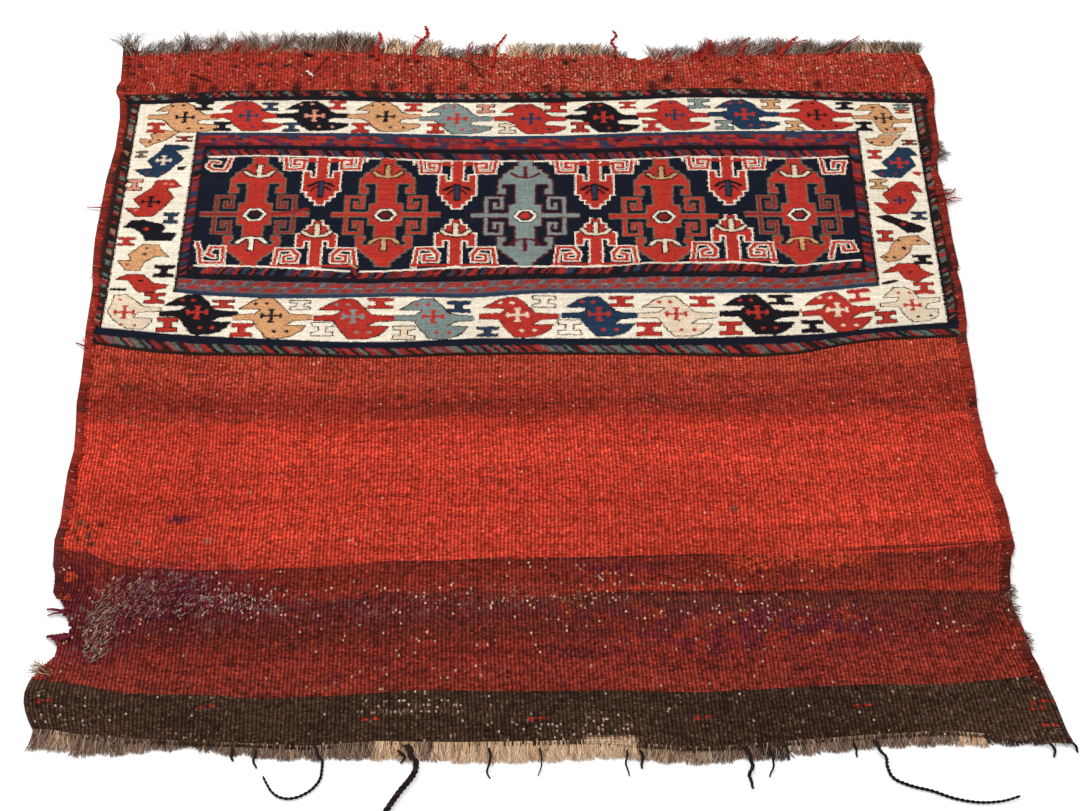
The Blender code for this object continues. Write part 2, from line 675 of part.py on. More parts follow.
def smooth_route(points, spacing):
    """Even points along the smooth curve through hand-chosen ones."""
    padded = [2 * points[0] - points[1], *points, 2 * points[-1] - points[-2]]
    fine = []
    for p0, p1, p2, p3 in zip(padded, padded[1:], padded[2:], padded[3:]):
        for k in range(20):
            t = k / 20
            fine.append(0.5 * (2 * p1 + (p2 - p0) * t + (2 * p0 - 5 * p1 + 4 * p2 - p3) * t * t
                               + (3 * p1 - p0 - 3 * p2 + p3) * t ** 3))
    fine.append(points[-1].copy())
    length = sum((b - a).length for a, b in zip(fine, fine[1:]))
    count = max(2, round(length / spacing))
    route, travelled, want = [fine[0]], 0.0, 1
    for a, b in zip(fine, fine[1:]):
        run = (b - a).length
        while want < count and travelled + run >= length * want / count:
            route.append(a.lerp(b, (length * want / count - travelled) / run))
            want += 1
        travelled += run
    return route + [fine[-1]]


def build_cord(name, exit_u, diameter, offsets, collection, material):
    """A closure cord that lies on the floor, from the band's end along its route."""
    x, y = lay(exit_u, -cord_exit_depth(exit_u))
    start = Vector((x, y - CORD_GAP, diameter / 2))
    points = [start + Vector((dx * MM, dy * MM, 0)) for dx, dy in offsets]
    curve = bpy.data.curves.new(name, "CURVE")
    curve.dimensions = "3D"
    curve.bevel_depth = diameter / 2
    curve.bevel_resolution = 2
    curve.use_fill_caps = True
    route = smooth_route(points, 2.5 * diameter)
    spline = curve.splines.new("POLY")
    spline.points.add(len(route) - 1)
    for spot, point in zip(spline.points, route):
        spot.co = (*point, 1)
    curve.materials.append(material)
    collection.objects.link(bpy.data.objects.new(name, curve))


def main():
    """Build the saddle bag."""
    clear_scene()
    collection = bpy.data.collections.new("kilim_saddle_bag")
    bpy.context.scene.collection.children.link(collection)
    materials = {name: wool(name, rgb) for name, rgb in COLOURS.items()}
    build_cloth(collection, materials)
    build_binding("left_edge_binding", -1, LEFT_BINDING, collection, materials["strip_red"])
    build_binding("right_edge_binding", 1, RIGHT_BINDING, collection, materials["strip_red"])
    build_binding("right_edge_binding_end", 1, RIGHT_BINDING_END, collection, materials["madder"])
    for name, (exit_u, diameter, offsets) in CORDS.items():
        build_cord(name, exit_u, diameter, offsets, collection, materials["black"])


main()
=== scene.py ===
import math

import bpy
import numpy as np
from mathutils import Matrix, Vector


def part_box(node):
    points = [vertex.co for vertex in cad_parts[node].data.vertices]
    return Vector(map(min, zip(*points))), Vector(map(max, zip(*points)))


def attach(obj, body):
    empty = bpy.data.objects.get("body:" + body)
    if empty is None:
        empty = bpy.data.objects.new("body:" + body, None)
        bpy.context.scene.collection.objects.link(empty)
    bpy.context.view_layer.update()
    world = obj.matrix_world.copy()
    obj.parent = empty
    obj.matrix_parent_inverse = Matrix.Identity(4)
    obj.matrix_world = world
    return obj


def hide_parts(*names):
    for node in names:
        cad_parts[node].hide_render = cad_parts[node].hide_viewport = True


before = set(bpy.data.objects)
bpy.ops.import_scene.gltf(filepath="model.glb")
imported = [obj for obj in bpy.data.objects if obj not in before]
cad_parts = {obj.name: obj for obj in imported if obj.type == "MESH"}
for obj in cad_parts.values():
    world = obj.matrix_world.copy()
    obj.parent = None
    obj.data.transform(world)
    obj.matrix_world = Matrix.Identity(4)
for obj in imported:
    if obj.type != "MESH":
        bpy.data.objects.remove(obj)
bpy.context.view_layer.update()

RNG = np.random.default_rng(11)
MM = 0.001
SCENE = bpy.context.scene

# The plan: x across and y along the floor in millimetres, with its own zero point
PLAN_X, PLAN_Y = 3.8, -32.8
CAMERA_Y, CAMERA_HEIGHT, CAMERA_TILT = -1580, 1350, 40.97
# The loom: u across from the middle, v along from the closure band's end; V_ZERO lies about on plan zero
HALF = 307.3
V_BAND, V_ZERO, V_PANEL, V_STRIP, V_TOP = 45.0, 338.0, 368.0, 688.0, 739.0
RIBS = 248
RIB = 2 * HALF / RIBS
# Heights of the plain and of the wrapped weave in millimetres, and the lowest height of a cord in metres
PLAIN_HEIGHT, FACE_HEIGHT = 2.6, 3.45
LOWEST = 0.0001


def linear(rgb):
    """Colours from 0 to 255 as linear light."""
    value = np.asarray(rgb, float) / 255
    return np.where(value <= 0.04045, value / 12.92, ((value + 0.055) / 1.055) ** 2.4)


# Camera first: a tall stand in front of the closure band, looking down at the cloth
camera_data = bpy.data.cameras.new("camera")
camera_data.lens = 100
camera_data.sensor_width = 36
camera_data.clip_end = 50
camera = bpy.data.objects.new("camera", camera_data)
camera.location = (PLAN_X * MM, (CAMERA_Y + PLAN_Y) * MM, CAMERA_HEIGHT * MM)
camera.rotation_euler = (math.radians(90 - CAMERA_TILT), 0, 0)
SCENE.collection.objects.link(camera)
SCENE.camera = camera


def dyed_mesh(name, points, faces, colours):
    """A smooth mesh object in metres, with one linear colour a face and a flat map seen from above.

    The faces are an array of quads, or a list of faces with any number of corners."""
    mesh = bpy.data.meshes.new(name)
    points = np.asarray(points, np.float32)
    if isinstance(faces, list):
        mesh.from_pydata(points.tolist(), [], faces)
    else:
        mesh.vertices.add(len(points))
        mesh.vertices.foreach_set("co", points.ravel())
        mesh.loops.add(faces.size)
        mesh.loops.foreach_set("vertex_index", faces.astype(np.int32).ravel())
        mesh.polygons.add(len(faces))
        mesh.polygons.foreach_set("loop_start", np.arange(0, faces.size, faces.shape[1], dtype=np.int32))
    mesh.update(calc_edges=True)
    mesh.polygons.foreach_set("use_smooth", np.ones(len(mesh.polygons), bool))
    corners = np.zeros(len(mesh.polygons), np.int32)
    mesh.polygons.foreach_get("loop_total", corners)
    rgba = np.ones((len(colours), 4), np.float32)
    rgba[:, :3] = colours
    dye = mesh.color_attributes.new("dye", "FLOAT_COLOR", "CORNER")
    dye.data.foreach_set("color", np.repeat(rgba, corners, axis=0).ravel())
    index = np.zeros(len(mesh.loops), np.int32)
    mesh.loops.foreach_get("vertex_index", index)
    flat = points[:, :2]
    flat = (flat - flat.min(0)) / max(float(np.ptp(flat, axis=0).max()), 1e-6)
    mesh.uv_layers.new(name="OFBake").data.foreach_set("uv", flat[index].astype(np.float32).ravel())
    obj = bpy.data.objects.new(name, mesh)
    SCENE.collection.objects.link(obj)
    return obj


def tube_faces(rings, sides, first=0):
    """Quads between the rings of a tube, or of many tubes if their first corners are an array."""
    corner = np.arange(sides)
    start = first + np.arange(rings - 1)[:, None] * sides
    a, b = start + corner, start + (corner + 1) % sides
    return np.stack([a, b, b + sides, a + sides], axis=-1).reshape(-1, 4)


def in_frame(x, y, z):
    """Plan millimetres and a height as metres in the part's frame.

    The plan was measured as if all lay on the floor, so what is higher moves towards the camera's place."""
    z = np.broadcast_to(np.asarray(z, float), np.shape(x))
    share = z / CAMERA_HEIGHT
    x = np.asarray(x) * (1 - share)
    y = np.asarray(y) - (np.asarray(y) - CAMERA_Y) * share
    return np.stack([(x + PLAN_X) * MM, (y + PLAN_Y) * MM, z * MM], axis=-1)


# Cords, along the routes of the solids that they stand for: thickness, yarns, length of one turn, each yarn's
# share of the radius, how much the end thins, and the route from the exit in millimetres
CORDS = {
    "closure_cord_left": (0.0022, 2, 0.0062, 0.56, 0.25, (
        (0, 0), (0, -7), (-1, -14), (-6, -22), (-14, -27.5), (-22, -28), (-29, -23), (-35, -11))),
    "closure_cord_middle": (0.0040, 3, 0.011, 0.52, 0.1, (
        (0, 0), (0, -6), (-3, -13), (-9, -23), (-15, -35), (-21, -48), (-25, -62), (-24, -76))),
    "closure_cord_right": (0.0024, 2, 0.0062, 0.56, 0.25, (
        (0, 0), (0, -7), (3, -16), (13, -22), (25, -26), (38, -32), (52, -35), (66, -34), (77, -30))),
}
CORD_WOOL = linear(((44, 34, 34), (34, 27, 28), (56, 44, 40)))


def smooth_route(points, spacing):
    """Even points along the smooth curve through given ones."""
    padded = [2 * points[0] - points[1], *points, 2 * points[-1] - points[-2]]
    fine = []
    for p0, p1, p2, p3 in zip(padded, padded[1:], padded[2:], padded[3:]):
        for k in range(20):
            t = k / 20
            fine.append(0.5 * (2 * p1 + (p2 - p0) * t + (2 * p0 - 5 * p1 + 4 * p2 - p3) * t * t
                               + (3 * p1 - p0 - 3 * p2 + p3) * t ** 3))
    fine.append(points[-1].copy())
    length = sum((b - a).length for a, b in zip(fine, fine[1:]))
    count = max(2, round(length / spacing))
    route, travelled, want = [fine[0]], 0.0, 1
    for a, b in zip(fine, fine[1:]):
        run = (b - a).length
        while want < count and travelled + run >= length * want / count:
            route.append(a.lerp(b, (length * want / count - travelled) / run))
            want += 1
        travelled += run
    return route + [fine[-1]], length


def twisted_cord(route, radius, strands, pitch, strand_share, taper):
    """Yarns that twist round a route: points, faces and the yarn that each face is on."""
    sides = 7
    route = np.array([tuple(p) for p in route])
    along = np.concatenate([[0], np.cumsum(np.linalg.norm(np.diff(route, axis=0), axis=1))])
    count = max(12, int(along[-1] / (pitch / 10)))
    s = np.linspace(0, along[-1], count)
    line = np.stack([np.interp(s, along, route[:, k]) for k in range(3)], axis=1)
    tangent = np.gradient(line, axis=0)
    tangent /= np.linalg.norm(tangent, axis=1)[:, None]
    side = np.stack([-tangent[:, 1], tangent[:, 0], np.zeros(count)], axis=1)
    side /= np.linalg.norm(side, axis=1)[:, None]
    up = np.cross(tangent, side)
    thin = 1 - taper * (s / along[-1]) ** 2
    ring = np.arange(sides) * 2 * math.pi / sides
    out = np.cos(ring)[None, :, None] * side[:, None, :] + np.sin(ring)[None, :, None] * up[:, None, :]
    points, faces, owner = [], [], []
    for k in range(strands):
        angle = 2 * math.pi * (s / pitch + k / strands)
        turned = np.cos(angle)[:, None] * side + np.sin(angle)[:, None] * up
        core = line + turned * (radius * (1 - strand_share) * thin)[:, None]
        own = radius * strand_share * thin * (1 + 0.08 * np.sin(s * 1900 + k * 2))
        first, last = k * count * sides, ((k + 1) * count - 1) * sides
        points.append((core[:, None, :] + own[:, None, None] * out).reshape(-1, 3))
        faces += tube_faces(count, sides, first).tolist()
        faces += [list(range(first, first + sides))[::-1], list(range(last, last + sides))]
        owner += [k] * ((count - 1) * sides + 2)
    return np.concatenate(points), faces, np.array(owner)


cord_objects = {}
for cord_name, (diameter, strands, pitch, share, taper, offsets) in CORDS.items():
    spots = np.array([tuple(v.co) for v in bpy.data.objects[cord_name].data.vertices])
    top_y = Vector(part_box(cord_name)[1]).y
    ends = spots[spots[:, 1] > top_y - 0.0004, 0]
    start = Vector(((ends.min() + ends.max()) / 2, top_y, diameter / 2))
    points = [start + Vector((dx * MM, dy * MM, 0)) for dx, dy in offsets]
    route, length = smooth_route(points, 1.2 * diameter)
    shell, faces, owner = twisted_cord(route, diameter / 2, strands, pitch, share, taper)
    shell[:, 2] = np.maximum(shell[:, 2], LOWEST)
    tone = CORD_WOOL[owner % 3] * (0.8 + 0.4 * RNG.random(len(owner)))[:, None]
    piece = dyed_mesh(cord_name + "_plied", shell, faces, tone)
    cord_objects[cord_name] = (piece, route, start, length, diameter)

# Weft lines: a place along the loom, and where that line lies in the plan
WEFT_LINES = (
    (0, ((-300, -330), (-280, -335), (-250, -338), (-230, -339), (-170, -342), (-140, -344), (-100, -340),
     (-50, -341), (0, -340), (44, -338), (60, -342), (100, -345), (150, -340), (200, -335), (250, -331),
     (300, -338))),
    (45, ((-315, -284), (-280, -290), (-260, -297), (-200, -298), (-180, -301), (-140, -300), (-110, -297),
     (-80, -294), (0, -295), (50, -294), (100, -296), (150, -292), (200, -289), (250, -289), (290, -284),
     (310, -281))),
    (160, ((-300, -168), (-285, -177), (-275, -184), (-220, -188), (-150, -186), (-125, -182),
     (-108, -179.5), (-65, -179.5), (-22, -175.5), (22, -176.5), (65, -174.5), (109, -172.5), (153, -175),
     (194, -173), (228, -171), (260, -168), (300, -163))),
    (296, ((-310, -40), (-265, -44), (-150, -43), (-60, -39), (0, -37), (60, -36), (150, -36), (220, -34),
     (300, -31))),
    (338, ((-310, 0), (-230, -6), (-150, -8), (-90, -6), (-30, -1), (60, 0), (120, 0), (160, 4), (220, 10),
     (300, 16))),
    (369, ((-310, 42), (-300, 38), (-270, 32), (-240, 29), (-200, 29), (-140, 27), (-110, 26), (-60, 29),
     (0, 30), (100, 29), (150, 27), (180, 30), (220, 42), (240, 46), (290, 49))),
    (387, ((-310, 59), (-262, 52), (-230, 49), (-140, 43), (-100, 43), (-50, 47), (100, 47), (150, 49),
     (200, 52), (240, 59), (289, 65))),
    (433, ((-310, 100), (-262, 98), (-240, 94), (-200, 91), (-160, 91), (-100, 93), (-50, 91), (0, 97),
     (190, 97), (240, 105), (300, 108))),
    (468, ((-310, 131), (-210, 130), (-160, 126), (-140, 124), (-120, 123), (-100, 125), (-60, 128),
     (-30, 130), (40, 129), (80, 134), (150, 134), (180, 130), (232, 137), (300, 140))),
    (598, ((-310, 262), (-250, 262), (-210, 263), (-160, 261), (-120, 259), (-70, 256), (0, 256), (50, 257),
     (90, 260), (110, 262), (160, 261), (190, 259), (232, 262), (300, 262))),
    (633, ((-310, 294), (-250, 294), (-120, 293), (-40, 289), (20, 290), (80, 294), (150, 296), (240, 296),
     (300, 296))),
    (674, ((-310, 331), (-300, 331), (-240, 336), (-160, 336.5), (-100, 333), (0, 333), (60, 336),
     (110, 340), (150, 340), (200, 338), (287, 332))),
    (686, ((-310, 342), (-300, 342), (-240, 347), (-160, 348.5), (-100, 345), (-50, 343), (0, 346),
     (60, 347), (110, 351), (150, 351), (200, 347), (295, 344))),
    (739, ((-330, 404), (-300, 405), (-230, 408), (-160, 410), (-100, 406), (-60, 400), (0, 402), (60, 399),
     (90, 396), (150, 404), (240, 408), (300, 408))))
SAMPLES = np.arange(-345, 346, 5.0)
LINE_V = np.array([v for v, _ in WEFT_LINES], float)
LINE_Y = np.array([np.interp(SAMPLES, *np.array(row, float).T) for _, row in WEFT_LINES])
kernel = np.array([1, 2, 3, 2, 1]) / 9
padded = np.pad(LINE_Y, ((0, 0), (2, 2)), mode="edge")
LINE_Y = sum(padded[:, k:k + LINE_Y.shape[1]] * w for k, w in enumerate(kernel))

LEFT_EDGE = np.array((
    (-345, -307), (-328, -309.5), (-320, -313.5), (-312, -316.5), (-304, -318.5), (-296, -319),
    (-288, -317.5), (-280, -315), (-260, -312.5), (-220, -312), (-200, -312), (-192, -312.8), (-184, -315),
    (-160, -317), (-144, -315.2), (-96, -316.2), (-72, -314.6), (-48, -316.2), (-24, -318.4), (0, -318.5),
    (32, -319.8), (56, -321.2), (104, -321.8), (128, -324.6), (160, -326.4), (232, -326), (272, -323.4),
    (312, -324.2), (336, -327), (346, -330.8), (354, -331), (362, -328.8), (384, -330), (404, -331.5)))
TORN_EDGE = np.array((
    (-300, -400), (-290, -330), (-287, -316), (-283, -315), (-278, -311), (-272, -310), (-268, -306),
    (-264, -303.8), (-258, -303), (-254, -305), (-250, -308), (-247.5, -310.5), (-245.5, -305),
    (-244.5, -298), (-240, -297), (-236, -298), (-232, -300), (-228, -302.5), (-224, -302), (-220, -303.5),
    (-216, -306.2), (-210, -309), (-205, -320), (-200, -400)))
RIGHT_EDGE = np.array((
    (-345, 324.5), (-336, 324), (-328, 321.4), (-304, 317.5), (-288, 313.8), (-272, 310.8), (-264, 308.4),
    (-240, 306), (-224, 302), (-216, 301.4), (-192, 303), (-176, 306), (-166, 309.4), (-152, 308.5),
    (-136, 308.2), (-120, 307), (-104, 303.8), (-88, 304.6), (-72, 301.8), (-32, 300), (0, 301.2),
    (48, 300.8), (64, 302.8), (104, 303.5), (120, 302), (130, 303.8), (160, 302.5), (200, 302.6),
    (232, 301.8), (240, 300.2), (256, 301), (272, 304.5), (320, 305), (344, 307.8), (368, 307.8),
    (384, 304.4), (404, 300.5)))


def ramp(value, low, high):
    """0 below low, 1 above high, smooth between them."""
    t = np.clip((value - low) / (high - low), 0, 1)
    return t * t * (3 - 2 * t)


# The same edges without their small bends, which the ribs inside follow
LEFT_RUN = np.array((
    (-345, -316), (-290, -316), (-100, -316), (0, -318.5), (100, -321.5), (200, -325.5), (300, -324.5),
    (404, -330)))
RIGHT_RUN = np.array((
    (-345, 317), (-300, 313), (-250, 308), (-200, 305.5), (-100, 304.5), (0, 301.5), (404, 305)))
BEND_REACH = 34.0


def edge_x(table, y):
    """Where an edge, given as pairs of y and x, lies across at a place along the plan."""
    return np.interp(y, *table.T)


def weft_y(x, v):
    """How far along the plan a loom line lies at a place across."""
    x, v = np.broadcast_arrays(np.asarray(x, float), np.asarray(v, float))
    row = np.clip(np.searchsorted(LINE_V, v, side="right") - 1, 0, len(LINE_V) - 2)
    f = (v - LINE_V[row]) / (LINE_V[row + 1] - LINE_V[row])
    column = np.clip((x - SAMPLES[0]) / 5, 0, len(SAMPLES) - 1.001)
    c = column.astype(int)
    g = column - c
    low = LINE_Y[row, c] * (1 - g) + LINE_Y[row, c + 1] * g
    high = LINE_Y[row + 1, c] * (1 - g) + LINE_Y[row + 1, c + 1] * g
    return low * (1 - f) + high * f


def lay(u, v):
    """Loom coordinates as plan coordinates."""
    x = np.asarray(u, float) - 9
    for _ in range(2):
        y = weft_y(x, v)
        left, right = edge_x(LEFT_RUN, y), edge_x(RIGHT_RUN, y)
        bound = 3.0 * ramp(y, -216, -206)
        x = left + (right - left) * (u + HALF) / (2 * HALF)
        x = x + (edge_x(LEFT_EDGE, y) + bound - left) * np.exp(-(u + HALF) / BEND_REACH)
        x = x + (edge_x(RIGHT_EDGE, y) - bound - right) * np.exp((u - HALF) / BEND_REACH)
    x = x + 0.35 * np.sin(y * 0.045 + u * 0.02) * np.cos(u * 0.013)
    return x, y


# Dyes of the wool, named by one letter
DYES = {
    "r": (180, 50, 40), "u": (158, 46, 40), "k": (26, 23, 28), "w": (243, 230, 208), "n": (21, 25, 38),
    "s": (44, 58, 78), "t": (210, 154, 108), "g": (126, 138, 134), "i": (34, 54, 78), "c": (230, 208, 180),
    "p": (80, 34, 60), "o": (112, 98, 80), "b": (44, 30, 25), "m": (134, 40, 40), "q": (140, 44, 48),
    "e": (142, 140, 108), "x": (214, 140, 118), "d": (92, 30, 32), "a": (96, 84, 90), "y": (198, 152, 106),
    "h": (92, 106, 98), "f": (156, 108, 90),
}
PALETTE = linear(list(DYES.values()))
INK = {letter: k for k, letter in enumerate(DYES)}


def noise_field(shape, cell, seed):
    """Smooth random values from -1 to 1 on a grid, with patches about so many cells wide."""
    rng = np.random.default_rng(seed)
    rows, columns = shape
    low = rng.random((int(rows / cell[0]) + 3, int(columns / cell[1]) + 3)) * 2 - 1
    r = np.arange(rows) / cell[0]
    c = np.arange(columns) / cell[1]
    r0, c0 = r.astype(int), c.astype(int)
    fr, fc = (r - r0)[:, None], (c - c0)[None, :]
    fr, fc = fr * fr * (3 - 2 * fr), fc * fc * (3 - 2 * fc)
    a, b = low[r0][:, c0], low[r0][:, c0 + 1]
    d, e = low[r0 + 1][:, c0], low[r0 + 1][:, c0 + 1]
    return a * (1 - fr) * (1 - fc) + b * (1 - fr) * fc + d * fr * (1 - fc) + e * fr * fc


class Panel:
    """The patterned face as a fine grid of dyed knots, painted from outlines."""

    def __init__(self, columns, rows, v_low, v_high):
        self.columns, self.rows, self.fine = columns, rows, 2
        fine = self.fine
        u = (np.arange(columns * fine) + 0.5) / (columns * fine) * 2 * HALF - HALF
        v = v_low + (np.arange(rows * fine) + 0.5) / (rows * fine) * (v_high - v_low)
        self.u, self.v = np.meshgrid(u, v)
        self.x, self.y = lay(self.u, self.v)
        # Uneven yarn makes every outline waver by part of a stitch
        shape = self.x.shape
        self.x += 0.5 * noise_field(shape, (3, 5), 13) + 0.22 * noise_field(shape, (1.6, 1.6), 15)
        self.y += 0.5 * noise_field(shape, (5, 3), 14) + 0.22 * noise_field(shape, (1.6, 1.6), 16)
        self.v += 0.45 * noise_field(shape, (8, 5), 17)
        self.ink = np.full(shape, INK["b"], np.uint8)
        self.v_low, self.v_high = v_low, v_high

    def window(self, x0, x1, y0, y1):
        """Rows and columns that can hold a box of the plan."""
        rows, columns = self.x.shape
        per_v = rows / (self.v_high - self.v_low)
        per_u = columns / (2 * HALF)
        r0 = int(max(0, (y0 - 24 + V_ZERO - self.v_low) * per_v))
        r1 = int(min(rows, (y1 + 24 + V_ZERO - self.v_low) * per_v + 1))
        c0 = int(max(0, (x0 - 8 + HALF) * per_u))
        c1 = int(min(columns, (x1 + 28 + HALF) * per_u + 1))
        return slice(r0, max(r0, r1)), slice(c0, max(c0, c1))

    def fill(self, outline, letter):
        """Paint inside a closed outline of plan points."""
        p = np.asarray(outline, float)
        w = self.window(p[:, 0].min(), p[:, 0].max(), p[:, 1].min(), p[:, 1].max())
        x, y = self.x[w], self.y[w]
        found = np.zeros(x.shape, bool)
        for (x0, y0), (x1, y1) in zip(p, np.roll(p, -1, axis=0)):
            if y0 == y1:
                continue
            crossing = ((y0 > y) != (y1 > y)) & (x < x0 + (x1 - x0) * (y - y0) / (y1 - y0))
            found ^= crossing
        self.ink[w][found] = INK[letter]

    def run(self, path, letter, width, closed=False):
        """Paint a line of even width along plan points."""
        p = np.asarray(path, float)
        if closed:
            p = np.vstack([p, p[:1]])
        h = width / 2
        w = self.window(p[:, 0].min() - h, p[:, 0].max() + h, p[:, 1].min() - h, p[:, 1].max() + h)
        x, y = self.x[w], self.y[w]
        found = np.zeros(x.shape, bool)
        for (x0, y0), (x1, y1) in zip(p, p[1:]):
            dx, dy = x1 - x0, y1 - y0
            t = np.clip(((x - x0) * dx + (y - y0) * dy) / max(dx * dx + dy * dy, 1e-9), 0, 1)
            found |= np.maximum(abs(x - x0 - t * dx), abs(y - y0 - t * dy)) <= h
        self.ink[w][found] = INK[letter]

    def bar(self, x0, x1, y0, y1, letter):
        """Paint a box."""
        self.fill(((x0, y0), (x1, y0), (x1, y1), (x0, y1)), letter)

    def band(self, v0, v1, letter, x0=-400, x1=400):
        """Paint between two loom lines."""
        self.ink[(self.v >= v0) & (self.v < v1) & (self.x >= x0) & (self.x < x1)] = INK[letter]

    def dyes(self):
        """Linear colours of the knots, each the mean of its finer cells."""
        f = self.fine
        colours = PALETTE[self.ink].reshape(self.rows, f, self.columns, f, 3)
        return colours.mean(axis=(1, 3))


WHITE_LEFT, WHITE_RIGHT = -310.0, 288.6
INNER_LEFT, INNER_RIGHT = -263.4, 244.6
panel = Panel(600, 326, V_PANEL, V_STRIP)


def dashes(mask, place, pitch, letters, seed):
    """Short dashes of several dyes one after another along a narrow line, each of its own length."""
    rng = np.random.default_rng(seed)
    steps = pitch * (0.5 + rng.random(900))
    ends = np.cumsum(steps) - 1200
    wander = 1.1 * noise_field(place.shape, (2.2, 3), seed + 5)
    number = np.searchsorted(ends, place + wander)
    order = (np.arange(2000) + rng.integers(0, 2, 2000)) % len(letters)
    for k, letter in enumerate(letters):
        panel.ink[mask & (order[number] == k)] = INK[letter]


def paint_guards():
    """The dashed lines that run round the white border."""
    p = panel
    for v0, v1, letter in ((368, 371.4, "b"), (379, 387, "n"), (674, 680.2, "k"), (686.4, 688, "b")):
        p.band(v0, v1, letter)
    for x0, x1, letter in ((-400, -316.2, "b"), (-312.3, WHITE_LEFT, "b"), (WHITE_RIGHT, 291, "k"),
                           (295.4, 400, "b")):
        p.band(387, 674, letter, x0, x1)
    inside = (p.v >= 387) & (p.v < 674)
    dashes(inside & (p.x >= -316.2) & (p.x < -312.2), p.y + p.x * 0.8, 2.5, "mbhkmbfkhb", 61)
    dashes(inside & (p.x >= 291) & (p.x < 295.6), p.y - p.x * 0.8, 2.4, "hkmbfkmbhkub", 62)
    dashes((p.v >= 371.4) & (p.v < 379), p.x + p.v * 0.9, 2.4, "uhkmhbuakmhb", 63)
    dashes((p.v >= 680.2) & (p.v < 686.4), p.x + np.where(p.v > 683.4, 3.0, 0.0), 2.4, "mkhbukfbmbhk", 64)
    p.ink[inside & ((p.x < -319.6) | (p.x > 299.4))] = INK["d"]


# Blocks of one repeat of the lower row: shares of its length, loom lines, dye
ROW_BLOCKS = (
    (0, 0.62, 445.4, 450.6, "u"), (0.42, 0.96, 439.6, 444.2, "u"), (0.30, 0.41, 439.6, 443.4, "o"),
    (0.66, 0.76, 446.4, 450.6, "g"), (0, 0.36, 444.2, 445.2, "g"), (0.56, 1.0, 444.6, 445.6, "o"),
    (0.84, 0.98, 446.2, 449.8, "m"), (0.05, 0.24, 440.2, 443.0, "m"), (0.20, 0.30, 446.6, 449.2, "o"),
    (0.62, 0.70, 440.6, 443.2, "d"))


def paint_frames():
    """The white ground, and the rows of small shapes round the dark field."""
    p = panel
    p.band(387, 674, "w", WHITE_LEFT, WHITE_RIGHT)
    inner = (p.x >= INNER_LEFT) & (p.x < INNER_RIGHT)
    rows = ((433.5, 438, "s"), (438, 451.5, "a"), (451.5, 466, "k"), (466, 600, "n"), (600, 614.5, "k"),
            (614.5, 628.6, "p"), (628.6, 633, "s"))
    for v0, v1, letter in rows:
        p.band(v0, v1, letter, INNER_LEFT, INNER_RIGHT)
    for v0, v1, slope, letters, seed in ((458, 465.6, 0.55, "ukmksdukmsk", 65),
                                         (600.4, 608.4, -0.5, "mkuksdmkqs", 66)):
        dashes(inner & (p.v >= v0) & (p.v < v1), p.x - p.v * slope, 2.1, letters, seed)
    rng = np.random.default_rng(3)
    # Upper row: small shapes in red, blue and purple, close together, with blue hearts along the middle
    for v0, v1, pitch, letters, seed in (
            (614.8, 618.4, 3.8, "mupmsdpu", 71), (618.4, 622.6, 4.6, "umurspqmu", 72),
            (622.6, 624.8, 3.2, "spsmpkau", 73), (624.8, 628.4, 4.4, "uspmumrd", 74)):
        dashes(inner & (p.v >= v0) & (p.v < v1), p.x + p.v * 0.4, pitch, letters, seed)
    # Lower row: long red blocks that step up and down between grey-green lines
    x = INNER_LEFT + 3
    while x < INNER_RIGHT - 15:
        unit = 15 + 5 * rng.random()
        for du0, du1, v0, v1, letter in ROW_BLOCKS:
            du0, du1 = du0 + 0.05 * rng.random(), du1 - 0.05 * rng.random()
            slant = (p.v - (v0 + v1) / 2) * 0.7
            block = inner & (p.x - slant >= x + unit * du0) & (p.x - slant < x + unit * du1)
            p.ink[block & (p.v >= v0) & (p.v < v1)] = INK[letter]
        x += unit
    sides = (p.v >= 452) & (p.v < 614)
    uprights = ((433.5, 629, "b", INNER_LEFT, -261.2), (433.5, 629, "b", 242.2, INNER_RIGHT))
    for v0, v1, letter, x0, x1 in uprights:
        p.band(v0, v1, letter, x0, x1)
    dashes(sides & (p.x >= -261.2) & (p.x < -256), p.y - p.x * 0.5, 2.6, "uksmkupksmd", 67)
    dashes(sides & (p.x >= 236) & (p.x < 242.2), p.y + p.x * 0.5, 2.6, "uksmkupksmd", 68)
    for v0, v1, letter, x0, x1 in ((452, 614, "k", -256, -253.4), (452, 614, "k", 232.6, 236),
                                   (466, 468, "w", -251, 234), (598, 599.8, "w", -252, 234)):
        p.band(v0, v1, letter, x0, x1)


TOP_BIRD = np.array((
    (-22, 8), (-17, 13), (-9, 19), (1, 19.5), (9, 13), (13, 6), (17, 3.2), (27.4, 2.6), (27.4, -2.8),
    (16, -3.4), (12, -4.6), (12, -8.4), (28, -10.5), (27, -14), (19, -18.5), (9, -20), (-2, -20), (-9, -13),
    (-13, -6), (-17, -3.2), (-27.4, -2.8), (-27.4, 2.6), (-16, 3.4), (-12, 4.6), (-12, 8.2)))
LOW_BIRD = np.array((
    (-25, 9.5), (-16, 18), (-9, 22), (-1, 22), (6, 13), (11, 5), (16, 3.6), (27.4, 3), (27.4, -2.4),
    (15, -4), (9, -8.6), (24, -9), (21, -15), (16, -20), (9, -23), (-3, -23), (-10, -12), (-14, -3),
    (-27.4, -2.6), (-27.4, 3), (-13, 4), (-9, 9)))
